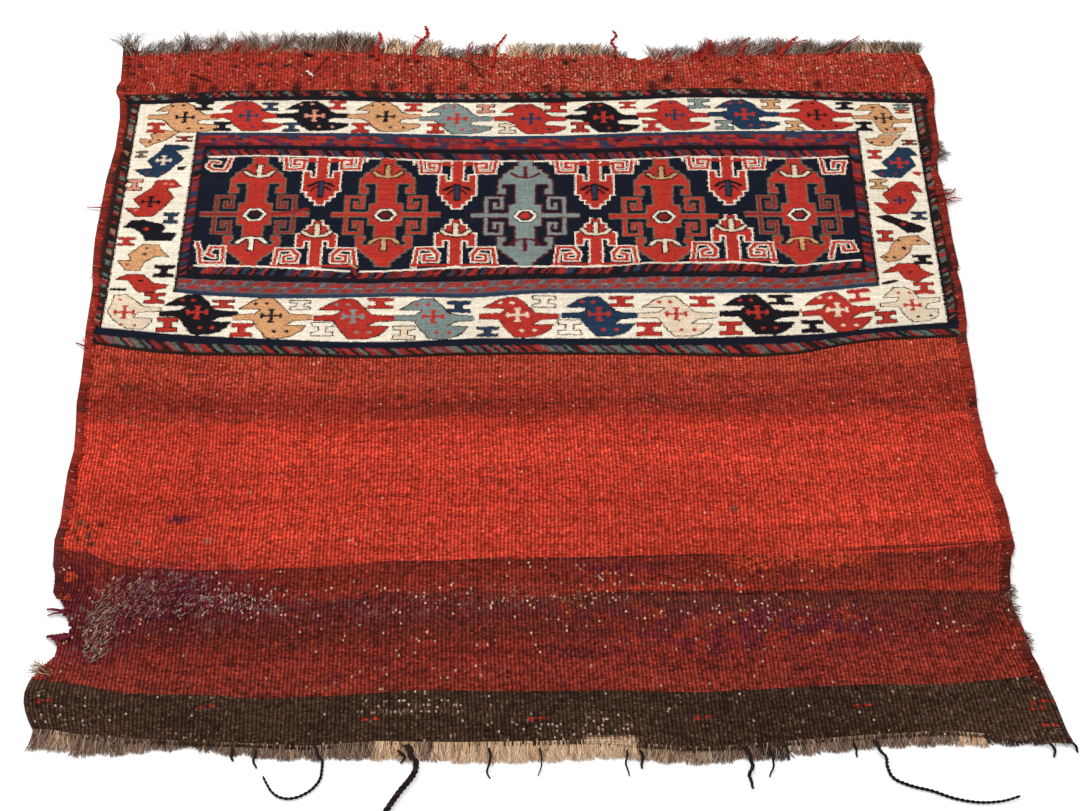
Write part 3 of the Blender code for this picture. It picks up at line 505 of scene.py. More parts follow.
# Birds of the upper row: middle, dye, dye of the marks, and whether a dark line goes round
TOP_BIRDS = (
    (-275, 314, "t", "k", 1), (-226, 316, "r", "s", 0), (-175, 316, "k", "x", 0), (-120, 315, "t", "k", 1),
    (-65, 312, "g", "r", 1), (-8, 312, "r", "i", 1), (48, 314, "k", "r", 0), (103, 317, "r", "i", 0),
    (157, 318, "i", "r", 0), (213, 317, "r", "k", 0))
LOW_BIRDS = (
    (-243, 74, 1, 0, "k", "r", 0), (-190, 70, 1, 0, "t", "k", 1), (-132, 69, 1.04, 0, "r", "g", 1),
    (-75, 69, 1, 0, "g", "r", 1), (-15, 71, 1.03, 0, "r", "c", 0), (43, 72, 1, 0, "i", "r", 0),
    (98, 72, 1, 0, "c", "r", 1), (156, 74, 1.02, 0, "k", "r", 0), (213, 77, 0.96, 0.12, "r", "c", 0))
# Filling figures: middle, width, height, dye, dark line
KEYS = (
    (-260, 329, 14, 12, "k", 0), (-209, 328, 13, 11, "s", 0), (-157, 330, 14, 12, "r", 0),
    (-98, 327, 14, 11, "r", 0), (-42, 325, 14, 11, "x", 1), (12, 327, 17, 13, "r", 1),
    (68, 330, 13, 9, "r", 0), (123, 332, 17, 12, "g", 1), (179, 331, 15, 12, "t", 1),
    (236, 329, 14, 10, "k", 0), (280, 328, 12, 6, "g", 1), (280, 321.5, 11, 5, "r", 0),
    (-295, 300, 14, 13, "r", 0), (-244, 302, 14, 12, "k", 0), (-191, 301, 13, 12, "s", 0),
    (-138, 300, 14, 13, "r", 0), (-80, 299, 14, 13, "r", 0), (-25, 299, 13, 12, "c", 1),
    (31, 301, 14, 13, "r", 1), (86, 303, 14, 14, "r", 0), (142, 304, 14, 12, "g", 1),
    (196, 303, 14, 12, "t", 1), (249, 302, 13, 12, "k", 0), (-276, 92, 15, 12, "r", 1),
    (-226, 85, 16, 9, "r", 1), (-171, 84, 15, 10, "w", 1), (-114, 86, 19, 12, "r", 0),
    (-58, 82, 17, 13, "i", 1), (3, 88, 17, 13, "w", 1), (58, 88, 18, 12, "r", 0), (116, 88, 18, 12, "r", 0),
    (172, 90, 18, 11, "k", 0), (-264, 62, 15, 16, "r", 1), (-211, 56, 16, 15, "r", 0),
    (-154, 57, 16, 15, "w", 1), (-96, 53, 16, 15, "c", 1), (-37, 54, 16, 11, "s", 0),
    (21, 59, 17, 16, "w", 1), (77, 57, 18, 15, "r", 0), (135, 58, 17, 15, "r", 0),
    (193, 60, 16, 14, "k", 0), (246, 70, 15, 13, "r", 1), (-272, 285.5, 13, 7, "m", 0),
    (-304, 227, 12, 14, "x", 1), (-273, 186, 11, 13, "s", 1), (-303, 158, 13, 10, "r", 0),
    (-272, 123, 15, 14, "k", 0), (282, 281, 11, 6, "m", 1), (254, 265.5, 11, 11, "r", 0),
    (254, 228, 13, 12, "y", 1), (280.5, 189, 12, 10, "s", 0), (253.5, 164.5, 12, 13, "r", 1),
    (278, 136.5, 14, 11, "k", 0), (276, 103.5, 15, 13, "r", 0), (-303, 265.5, 9, 8, "o", 0))
# Birds that stand in the side borders, each with its own outline
SIDE_BIRDS = (
    ("t", 1, ((-276, 296), (-281, 289), (-287, 283), (-295, 279), (-300, 274.5), (-305, 281), (-306, 286),
     (-296, 285), (-298, 291), (-290, 296))),
    ("i", 0, ((-286, 278), (-268.5, 277), (-267, 273), (-277, 270), (-270, 260), (-276, 252), (-280, 244),
     (-287, 237), (-297, 237), (-306, 246), (-292, 248), (-297, 257), (-288.5, 270))),
    ("r", 1, ((-287.6, 233), (-275, 233.6), (-268.5, 224.5), (-275, 223.6), (-279, 222), (-277, 219),
     (-273, 211), (-280, 198), (-287, 188), (-299, 187.6), (-308.5, 198.5), (-296, 198), (-303, 209),
     (-291, 223))),
    ("k", 0, ((-307, 174.5), (-302, 182.7), (-292, 183.6), (-279.5, 179), (-276, 173.6), (-278.5, 169),
     (-267, 168), (-270.4, 159), (-289.5, 159), (-291, 164.5), (-298.5, 173.6))),
    ("t", 1, ((-290, 154.5), (-278.5, 154), (-276, 147), (-270, 140), (-280, 140.4), (-287, 133.6),
     (-290, 123.6), (-299.5, 124), (-307.6, 135.5), (-297.6, 135.5), (-300, 142.7))),
    ("r", 1, ((-306, 113.6), (-298.5, 119), (-287, 119), (-278.5, 109), (-267, 107), (-269.5, 103),
     (-275, 102), (-277, 99), (-288.5, 98.5), (-293, 105.5), (-297, 112))),
    ("c", 1, ((-305, 95), (-297, 96), (-290, 90), (-283, 82), (-270, 81), (-270, 77), (-286, 76),
     (-289, 70), (-275, 69), (-276, 64), (-281, 57), (-292, 57.5), (-303, 67), (-308, 76), (-306, 85))),
    ("t", 1, ((250, 330), (256, 331), (263, 331), (269, 325), (273, 314), (276, 311), (286, 312),
     (286, 307), (272, 306), (270, 301), (281, 300), (280, 296), (274, 293), (263, 293), (259, 303),
     (257, 311), (241, 312), (241, 316), (254, 317), (257, 323), (244, 323))),
    ("t", 1, ((248.7, 285.5), (258, 286.5), (260, 291), (277, 291), (270.5, 282.7), (267.8, 276.4),
     (257, 276), (250.5, 281))),
    ("i", 0, ((272.4, 274.5), (281, 274.2), (286.9, 264.5), (280.5, 263.6), (284.2, 251.8), (277, 243.6),
     (271.5, 236), (257, 236.4), (249.6, 244.5), (263.3, 247.3), (258.7, 255.5), (267.8, 265.5))),
    ("r", 1, ((269.6, 231), (279.5, 231), (286, 217.3), (277, 220), (280.5, 207.3), (271.5, 191.3),
     (257, 191), (248.7, 205.5), (260.5, 203.6), (256, 215.5))),
    ("k", 0, ((248.7, 188), (257, 190), (268, 183.6), (277, 179), (284.2, 173.6), (278.7, 168.7),
     (269.6, 168.7), (264, 176.4))),
    ("t", 1, ((264, 163.6), (277, 165), (285, 154.5), (272.4, 153.6), (269.6, 145.5), (262.4, 136.4),
     (252.4, 133), (247.8, 140), (254, 144.5), (257, 153.6))),
    ("r", 1, ((247.8, 121), (260.5, 131.8), (273.3, 132.4), (277.8, 123.6), (285, 119), (277.8, 115.5),
     (272.4, 110), (264, 113.6), (259.6, 122.7))),
    ("c", 1, ((245, 92), (251, 100), (254, 104), (262, 104.5), (268, 100), (271, 92), (286, 93), (286, 88),
     (277, 86), (275, 80), (284, 80), (283, 72), (277, 67), (265, 65), (260, 71), (256, 82), (243, 82),
     (243, 86), (255, 88), (257, 93))))
SIDE_MARKS = (
    (-285, 258, "c", 5), (-290, 206, "k", 6), (-290, 173, "r", 2.5), (-288, 143, "k", 2),
    (-288, 112, "k", 2), (-296, 76, "r", 6.5), (265, 313, "k", 6), (272, 255, "r", 6), (268, 208, "i", 4),
    (268, 179, "r", 2.5), (266, 150, "k", 2.4), (268, 122, "m", 2.5), (266, 84, "r", 5.5))
SIDE_DOTS = (
    (-297, 62, "r"), (-287, 61, "r"), (-300, 90, "r"), (-298, 282, "b"), (-291, 284, "b"), (-287, 150, "s"),
    (-300, 131, "m"), (-296, 241, "m"), (-284, 242, "m"), (258, 327, "b"), (266, 327, "b"), (266, 298, "k"),
    (273, 298, "k"), (253, 281, "b"), (262, 281, "b"), (263, 159, "k"), (277, 159, "k"), (252, 139, "k"),
    (258, 139, "k"), (257, 98, "r"), (265, 98, "r"), (269, 71, "k"), (278, 72, "k"), (257, 241, "m"),
    (268, 241, "m"), (-281, 228, "x"), (-276, 228, "x"), (-300, 196, "x"), (258, 198, "m"), (275, 225, "m"))


# Right side of a filling figure's waist, in shares of its half width and height
KEY_WAIST = np.array(((0.94, 0.42), (0.34, 0.36), (0.34, -0.36), (0.94, -0.42)))
SMALL_SHAPES = (
    ("r", ((220, 101), (236, 104), (237, 99), (229, 98), (229, 93), (236, 93), (236, 89), (221, 87),
     (221, 91), (226, 92), (226, 97), (220, 97))),
    ("k", ((-309, 104), (-297, 103), (-297, 100), (-309, 101))),
    ("k", ((246, 107), (252, 108), (260, 112), (255, 113), (246, 110))),
    ("b", ((-274, 250), (-267, 251), (-269, 245), (-274, 246))),
    ("r", ((281, 244), (288, 243), (286, 238), (281, 241))))


def paint_dot(x, y, letter, size):
    """A small diamond."""
    panel.fill(((x - size, y), (x, y + size), (x + size, y), (x, y - size)), letter)


def paint_cross(x, y, letter, size):
    """A small woven cross with stepped arms, or a diamond where it is smaller than four stitches."""
    if size < 4:
        paint_dot(x, y, letter, size)
        return
    thin = max(1.2, size * 0.2)
    panel.bar(x - thin, x + thin, y - size, y + size, letter)
    panel.bar(x - size, x + size, y - thin * 0.8, y + thin * 0.8, letter)
    for end in (-size, size):
        panel.bar(x + end - 1.1, x + end + 1.1, y - size * 0.42, y + size * 0.42, letter)
        panel.bar(x - size * 0.35, x + size * 0.35, y + end - 0.9, y + end + 0.9, letter)


def paint_bird(outline, x, y, letter, mark, lined, bar, cross, dots, dot_size):
    """A double-headed bird with a line round it, its joining bars, a cross and dots."""
    panel.fill(outline, letter)
    panel.run(outline, "b" if lined else "k", 0.9 if lined else 0.7, closed=True)
    for end in (-27.4, 27.4):
        panel.bar(x + end - 0.9, x + end + 0.9, y + bar[0], y + bar[1], letter)
    paint_cross(x + cross[0], y + cross[1], mark, cross[2])
    for dx, dy in dots:
        paint_dot(x + dx, y + dy, mark, dot_size)


def paint_borders():
    """Birds and filling figures of the white border."""
    p = panel
    for x, y, letter, mark, lined in TOP_BIRDS:
        paint_bird(TOP_BIRD + (x, y), x, y, letter, mark, lined, (-2.4, 2.2), (1, 0, 6.6),
                   ((-10, 14.5), (-1.5, 15.5), (5, -14.5), (15, -14.5)), 1.8)
    for x, y, scale, shear, letter, mark, lined in LOW_BIRDS:
        outline = LOW_BIRD * (scale, 1)
        outline[:, 1] += outline[:, 0] * shear
        paint_bird(outline + (x, y), x, y, letter, mark, lined, (-2, 2.6), (-1, 2, 6.8),
                   ((-13, 15.5), (-5, 15.5), (2, -15.5), (11, -15.5)), 2.0)
    for letter, lined, outline in SIDE_BIRDS:
        p.fill(outline, letter)
        p.run(outline, "b" if lined else "k", 0.8, closed=True)
    for x, y, letter, size in SIDE_MARKS:
        paint_cross(x, y, letter, size)
    for x, y, letter in SIDE_DOTS:
        paint_dot(x, y, letter, 1.7)
    for x, y, wide, tall, letter, lined in KEYS:
        w, t = wide / 2, tall / 2
        shape = ((-w, t), (w, t), *KEY_WAIST * (w, t), (w, -t), (-w, -t), *KEY_WAIST * (-w, -t))
        placed = np.array(shape) + (x, y)
        if 200 < x < 260 and y < 100:
            placed[:, 1] += (placed[:, 0] - x) * 0.12
        p.fill(placed, letter)
        p.run(placed, "b", 1.0 if lined else 0.6, closed=True)
    for letter, outline in SMALL_SHAPES:
        p.fill(outline, letter)


MEDALLION = np.array((
    (5.6, 72), (5.8, 62), (9, 61), (9, 58), (13, 56.5), (13, 54), (17.5, 51), (17.5, 47), (20.5, 45),
    (21, 26), (14, 26), (14, 33), (17, 34), (16.5, 38.5), (8, 38.5), (7.4, 14), (12.4, 13.6), (12.4, 6),
    (12.8, 3.2), (40, 3.2), (40, -2.6), (12.8, -2.6), (12.4, -6), (12.4, -12.6), (7.6, -13), (7.6, -36),
    (15.5, -36.5), (16.5, -33), (14, -31), (14, -25.5), (21, -25.5), (20.6, -40), (17, -42), (17, -45),
    (12.5, -47.5), (12.5, -50), (8.6, -52), (8.6, -55), (5.8, -56), (5.6, -62)))
# Medallions: middle, dye, dye of the arms, line round it, upper and lower anchor, the eye's middle, and how
# far the right arm rises
MEDALLIONS = (
    (-211.5, 190.5, "r", "m", "o", "c", "w", "b", 10), (-114.5, 190, "r", "r", "o", "y", "y", "d", 0),
    (-11, 189, "g", "g", "d", "d", "d", "r", 0), (91.5, 188, "r", "r", "o", "y", "c", "m", 0),
    (192, 190.5, "r", "m", "o", "c", "t", "m", 6))
ARM_HOOK = ((29, 0), (29, 22), (17.5, 22), (17.5, 9), (22.5, 9), (22.5, 14.5))
TOP_HOOK = ((28.5, 67), (27, 53), (14.5, 53), (13.8, 64.5), (21.6, 64.5), (21.6, 58.8), (18, 58.8))
LOW_HOOK = ((29.5, 1), (27.5, 21.5), (17, 21.5), (12.6, 14.5), (13.4, 7), (22.4, 7), (22.4, 13.4), (18, 14.4))
HANGING = np.array((
    (4, 68), (4, 41.5), (8.6, 41.5), (9, 49.5), (13.6, 49.5), (13.8, 25), (10.4, 24.5), (10.2, 18.6),
    (7, 18.2), (6.8, 13.6), (3.4, 13.2), (3, 8.4)))
STANDING = np.array((
    (3.4, 55.5), (3.6, 50), (7.2, 49), (7.4, 45), (11, 43.6), (11.4, 40), (14.6, 38.6), (14.4, 24),
    (9.6, 24), (9.2, 31.6), (4.2, 31.6), (4.2, 1)))


def both_sides(points):
    """A half outline, from its top to its foot, with its mirror image."""
    points = np.asarray(points, float)
    return np.vstack([points, points[::-1] * (-1, 1)])


def paint_hook(path, side, x, y, core, rim, width, rim_width):
    """A squared hook with a line along both its sides."""
    spots = [(x + side * px, y + py) for px, py in path]
    panel.run(spots, rim, width + 2 * rim_width)
    panel.run(spots, core, width)


def paint_anchor(x, y, way, letter):
    """A stem with curved arms inside a medallion's head, lined in black unless it is dark itself."""
    arms = ((-10.5, 5.4), (-6.5, 0.8), (0, -0.8), (6.5, 0.8), (10.5, 5.4))
    arms = [(x + ax, y + way * ay) for ax, ay in arms]
    stem = ((x, y), (x, y + way * 12.5))
    if letter != "d":
        panel.run(arms, "k", 4.4)
        panel.run(stem, "k", 5.8)
    panel.run(arms, letter, 1.9)
    panel.run(stem, letter, 3.2)


def paint_half_medallions(x, top_y, low_y):
    """Half medallions: one hangs from the field's upper edge, and one stands on its lower edge."""
    p = panel
    base = top_y - 67
    p.bar(x - 33, x + 33, top_y - 3.4, top_y - 0.4, "r")
    for end in (-33, 33):
        p.run(((x + end, top_y - 4), (x + end, top_y)), "w", 1.8)
    outline = both_sides(HANGING) + (x, base)
    p.run(outline, "w", 2.5)
    p.fill(outline, "r")
    for side in (-1, 1):
        paint_hook(TOP_HOOK, side, x, base, "r", "w", 2.7, 1.05)
    for width, arms in ((2.4, ((-9.5, 31), (-5, 35), (0, 36.5), (5, 35), (9.5, 31))),
                        (1.6, ((-7, 26), (-3.4, 31), (0, 33), (3.4, 31), (7, 26)))):
        p.run([(x + ax, base + ay) for ax, ay in arms], "k", width)
    p.run(((x, base + 36), (x, base + 20)), "k", 5.4)
    p.run(((x, base + 35), (x, base + 21)), "s", 2.8)
    for side in (-1, 1):
        p.run(((x + side * 4, top_y - 5), (x + side * 14, top_y - 3)), "r", 2.6)
    outline = both_sides(STANDING) + (x, low_y)
    p.run(outline, "w", 2.5)
    p.fill(outline, "r")
    for side in (-1, 1):
        paint_hook(LOW_HOOK, side, x, low_y, "r", "w", 2.7, 1.05)
        p.run(((x + side * 4, low_y + 2), (x + side * 31, low_y + 2)), "r", 2.6)
    paint_anchor(x, low_y + 37.5, 1, "c")


# Hooks in the corners of the field
CORNERS = (
    ((-234, 261), (-236, 250), (-237.5, 245.5), (-247, 246), (-250.5, 251), (-248.5, 256), (-243, 255)),
    ((-251, 156), (-248.5, 147), (-247, 133), (-231, 133), (-231.5, 151), (-240, 151), (-242.5, 143),
     (-238, 140)),
    ((212.5, 261), (214.5, 242), (227.5, 242.5), (230.5, 256), (222.5, 256), (221.5, 249)),
    ((212, 139), (215.5, 157.5), (228, 157), (230.5, 147.5), (222, 146.5), (221.5, 152)))


def paint_field():
    """Medallions of the dark field, and the half medallions along its two edges."""
    p = panel
    frames = p.ink.copy()
    for x, y, dye, arms, rim, upper, lower, eye, tilt in MEDALLIONS:
        outline = both_sides(MEDALLION) + (x, y)
        p.fill(outline, dye)
        p.run(outline, rim, 1.2, closed=True)
        for side in (-1, 1):
            for way in (-1, 1):
                path = [(px, py * way) for px, py in ARM_HOOK]
                paint_hook(path, side, x, y, arms, rim, 2.5, 0.8)
            rise = tilt * 0.6 if side > 0 else 0
            p.run(((x + side * 14, y + 0.4), (x + side * 39, y + 0.4 + rise)), arms, 3.2)
        paint_anchor(x, y + 47.5, 1, upper)
        paint_anchor(x, y - 28.5, -1, lower)
        ring = np.array(((-7.6, -1), (-3.5, 6.2), (3.5, 6.4), (7.8, 0.5), (4, -6.6), (-3, -7)))
        p.run(ring + (x, y), "k", 3.4, closed=True)
        p.fill(ring + (x, y), "k")
        p.fill(ring * 0.55 + (x, y), eye)
        p.run(ring + (x, y), "w", 1.5, closed=True)
    for x, top_y, low_y in ((-164, 261, 127), (-62, 256.5, 128), (41, 257, 129.5), (141, 262, 134)):
        paint_half_medallions(x, top_y, low_y)
    for path in CORNERS:
        p.run(path, "w", 4.7)
        p.run(path, "r", 2.6)
    p.run(((-250, 262), (-232, 262)), "w", 1.8)
    outside = (p.v < 467.4) | (p.v > 599.4)
    p.ink[outside] = frames[outside]
    # The small worn hole at the field's lower edge
    p.fill(((-137, 131), (-132, 130), (-131, 120), (-134, 112), (-138, 118)), "k")
    p.run(((-136, 128), (-133, 119)), "m", 2.2)
    p.run(((-139, 132), (-133, 127)), "y", 1.2)


paint_guards()
paint_frames()
paint_borders()
paint_field()
panel_dyes = panel.dyes()


def vary(dyes, seed, strength):
    """Uneven wool: slow changes of tone, thin weft streaks, warp lines and single knots."""
    rows, columns = dyes.shape[:2]
    rng = np.random.default_rng(seed)
    tone = 1 + 0.07 * strength * noise_field((rows, columns), (26, 60), seed + 1)
    tone *= 1 + 0.09 * strength * noise_field((rows, columns), (1.6, 34), seed + 2)
    tone *= 1 + 0.045 * strength * (rng.random((1, columns)) * 2 - 1)
    tone *= 1 + 0.11 * strength * (rng.random((rows, columns)) * 2 - 1)
    return dyes * tone[..., None]


panel_dyes = vary(panel_dyes, 21, 1.0)
# Coloured wool is mottled, knot by knot; the white ground stays even
mottled = 1 - ramp(panel_dyes.min(axis=2), 0.12, 0.4)
knots = np.random.default_rng(23).random(panel_dyes.shape[:2])
panel_dyes = panel_dyes * (1 + 0.34 * mottled * (knots - 0.5))[..., None]


def ripple(u, v):
    """The slow rise and fall of the cloth, in millimetres."""
    return 0.5 * (1 + np.sin(u * 0.021 + v * 0.009) * np.cos(v * 0.026 - u * 0.007))


def woven_sheet(name, u, v, z, dyes, keep=None, facing_down=False):
    """One side of the cloth, from its loom lines, the height of each crossing and the cells that stay."""
    uu, vv = np.meshgrid(u, v)
    x, y = lay(uu, vv)
    points = in_frame(x, y, np.maximum(z, 0.05)).reshape(-1, 3)
    rows, columns = len(v) - 1, len(u) - 1
    a = np.arange(rows)[:, None] * (columns + 1) + np.arange(columns)
    quads = np.stack([a, a + 1, a + columns + 2, a + columns + 1], axis=-1)
    if keep is None:
        keep = np.ones((rows, columns), bool)
    used, faces = np.unique(quads[keep], return_inverse=True)
    faces = faces.reshape(-1, 4)
    obj = dyed_mesh(name, points[used], faces[:, ::-1] if facing_down else faces, dyes[keep])
    loom = obj.data.attributes.new("loom", "FLOAT_VECTOR", "POINT")
    spots = np.stack([uu, vv, np.zeros_like(uu)], axis=-1).reshape(-1, 3)[used] * 0.1
    loom.data.foreach_set("vector", spots.astype(np.float32).ravel())
    return obj


def edge_drop(u, depth):
    """How the cloth thins out towards its side edges."""
    return depth * ramp(abs(u), HALF - 4, HALF)


# Rows that stand up or lie in a groove: loom line, height
RAISED_ROWS = ((374, 0.25), (380, 0.2), (433.5, 0.25), (454, 0.35), (467, -0.2), (599, -0.2), (611, 0.35),
               (631, 0.2), (677, 0.25))


def panel_height(u, v):
    """Height of the wrapped weave: level, with fine rows, and lower along its edges."""
    uu, vv = np.meshgrid(u, v)
    rng = np.random.default_rng(5)
    z = FACE_HEIGHT + ripple(uu, vv)
    z += 0.10 * np.sin(vv * 2 * math.pi / 1.9) * np.cos(uu * 2 * math.pi / RIB)
    z += 0.16 * noise_field(uu.shape, (7, 9), 31) + 0.07 * (rng.random(uu.shape) - 0.5)
    z -= 0.7 * (1 - ramp(vv, V_PANEL, V_PANEL + 3)) + 0.7 * ramp(vv, V_STRIP - 3, V_STRIP)
    # The rows of the guard lines stand up a little, and the line round the field lies in a groove
    for v0, tall in RAISED_ROWS:
        z += tall * np.exp(-((vv - v0) / 2.2) ** 2)
    z -= edge_drop(uu, 0.9)
    return z


panel_u = np.linspace(-HALF, HALF, panel.columns + 1)
panel_v = np.linspace(V_PANEL, V_STRIP, panel.rows + 1)
heights = panel_height(panel_u, panel_v)
cloth = []
splits = ((0, 100, "face_lower_border"), (100, 233, "face_field"), (233, 326, "face_upper_border"))
for r0, r1, name in splits:
    cloth.append(woven_sheet(name, panel_u, panel_v[r0:r1 + 1], heights[r0:r1 + 1], panel_dyes[r0:r1]))

# Plain weave: dye along the cloth, as (loom place, colour); pairs that nearly touch are sharp changes
BACK_DYES = (
    (45.0, (148, 60, 46)), (62, (141, 55, 43)), (86, (136, 51, 41)), (90, (120, 50, 38)),
    (112, (115, 50, 38)), (128, (118, 52, 40)), (132, (142, 54, 41)), (150, (140, 52, 38)),
    (158, (126, 47, 35)), (159.4, (94, 38, 32)), (160.6, (206, 70, 50)), (175, (212, 72, 52)),
    (205, (210, 70, 50)), (214, (202, 66, 47)), (230, (212, 70, 50)), (262, (216, 73, 53)),
    (290, (208, 68, 49)), (295, (198, 66, 48)), (297, (178, 62, 45)), (306, (164, 56, 41)),
    (322, (164, 57, 42)), (336, (178, 65, 47)), (346, (186, 72, 52)), (368, (190, 74, 54)))


def dye_along(v, table):
    """The dye at each place along the loom."""
    places = [p for p, _ in table]
    colours = linear([c for _, c in table])
    return np.stack([np.interp(v, places, colours[:, k]) for k in range(3)], axis=-1)


def rib_grid(v_low, v_high, pitch):
    """Loom lines of plain weave: crests and valleys across, and rows along."""
    u = np.linspace(-HALF, HALF, 2 * RIBS + 1)
    return u, np.linspace(v_low, v_high, round((v_high - v_low) / pitch) + 1)


def rib_height(u, v, depth, seed):
    """Ridges over the warps, with beads where each weft passes."""
    uu, vv = np.meshgrid(u, v)
    rng = np.random.default_rng(seed)
    across = (uu + HALF) / RIB
    crest = 0.5 - 0.5 * np.cos(across * 2 * math.pi)
    rows = np.arange(len(v))[:, None]
    bead = np.where((rows + np.floor(across)) % 2 < 1, 1.0, -1.0) * 0.10
    z = PLAIN_HEIGHT + ripple(uu, vv) + depth * (crest - 0.5) + bead * crest
    z += 0.12 * noise_field(uu.shape, (6, 14), seed + 4) + 0.10 * (rng.random(uu.shape) - 0.5)
    return z - edge_drop(uu, 1.0)


def cell_values(u, v):
    """The middle of each cell, in loom and plan coordinates."""
    uu, vv = np.meshgrid((u[:-1] + u[1:]) / 2, (v[:-1] + v[1:]) / 2)
    x, y = lay(uu, vv)
    return uu, vv, x, y


def blend(dyes, mask, rgb):
    """Mix one colour in by a mask from 0 to 1."""
    return dyes * (1 - mask[..., None]) + linear(rgb) * mask[..., None]


def spots_at(x, y, cx, cy, rx, ry):
    """A soft spot round a middle, 1 there and less further out."""
    return np.exp(-(((x - cx) / rx) ** 2 + ((y - cy) / ry) ** 2))


def warp_specks(dyes, density, rgb, rng, long=1):
    """Short lengths of bare warp that show where the weft is worn, as runs of single cells."""
    start = rng.random(density.shape) < density
    run = start.copy()
    for k in range(1, long):
        run[k:] |= start[:-k] & (rng.random(start[:-k].shape) < 0.5)
    tone = 0.6 + 0.45 * rng.random(density.shape)
    mixed = dyes.copy()
    mixed[run] = linear(rgb) * tone[run][:, None]
    return mixed


def spot_marks(dyes, x, y, marks, gain, most):
    """Soft spots of other dyes, each with its middle, its two radii and its colour."""
    for cx, cy, rx, ry, rgb in marks:
        dyes = blend(dyes, np.clip(spots_at(x, y, cx, cy, rx, ry) * gain, 0, most), rgb)
    return dyes


def worn_zone(x, y):
    """How worn the lower stripes are: most at the left, in a tongue that thins out to the right."""
    left = spots_at(x, y, -246, -212 + (x + 246) * 0.06, 52, 27) + 0.9 * spots_at(x, y, -283, -245, 22, 26)
    tongue = 0.95 * spots_at(x, y, -194, -220, 34, 12) + 0.4 * spots_at(x, y, -110, -222, 50, 8)
    tongue = tongue + 0.35 * spots_at(x, y, -20, -222, 110, 12)
    return np.clip(1.35 * left + tongue, 0, 1)


# Stains of the red stripe: middle, radii, dye
STAINS = (
    (-302, -143, 2.0, 2.6, (82, 74, 44)), (-297, -146, 1.4, 2.2, (70, 58, 40)),
    (-295, -155, 1.7, 3.0, (62, 56, 52)), (-288, -145, 2.2, 2.2, (48, 26, 30)),
    (-291, -152, 1.4, 1.6, (96, 60, 40)), (-302, -158, 1.6, 2.4, (88, 52, 36)),
    (-293, -163, 3.0, 1.5, (70, 50, 40)), (-305, -150, 1.4, 3.0, (104, 66, 40)),
    (-262, -163, 1.6, 1.4, (110, 80, 56)), (-217, -160, 2.2, 1.4, (150, 122, 110)),
    (-216, -131, 1.8, 1.2, (120, 60, 50)), (128, -129, 3, 2, (122, 76, 60)))
# Places where bare warps show in the back: share, middle, radii
BARE_PLACES = (
    (0.02, -110, -206, 60, 6), (0.045, -30, -212, 70, 9), (0.025, 105, -232, 80, 20),
    (0.012, -80, -270, 60, 24), (0.09, -194, -218, 26, 9), (0.05, -193, -199, 17, 5),
    (0.02, -148, 20, 60, 3), (0.03, 60, -196, 70, 8))
# Pale stitches: place, half width
PALE_STITCHES = (
    (-310, -141, 2.2), (258, -178, 0.7), (263, -176, 0.9), (267, -180, 0.7), (252, -236, 0.8),
    (257, -239, 0.7), (262, -235, 0.9), (268, -238, 0.7), (264, -242, 0.7), (249, -243, 0.6),
    (-124, -160, 1.1), (-120, -164, 0.9), (-106, -150, 0.9))


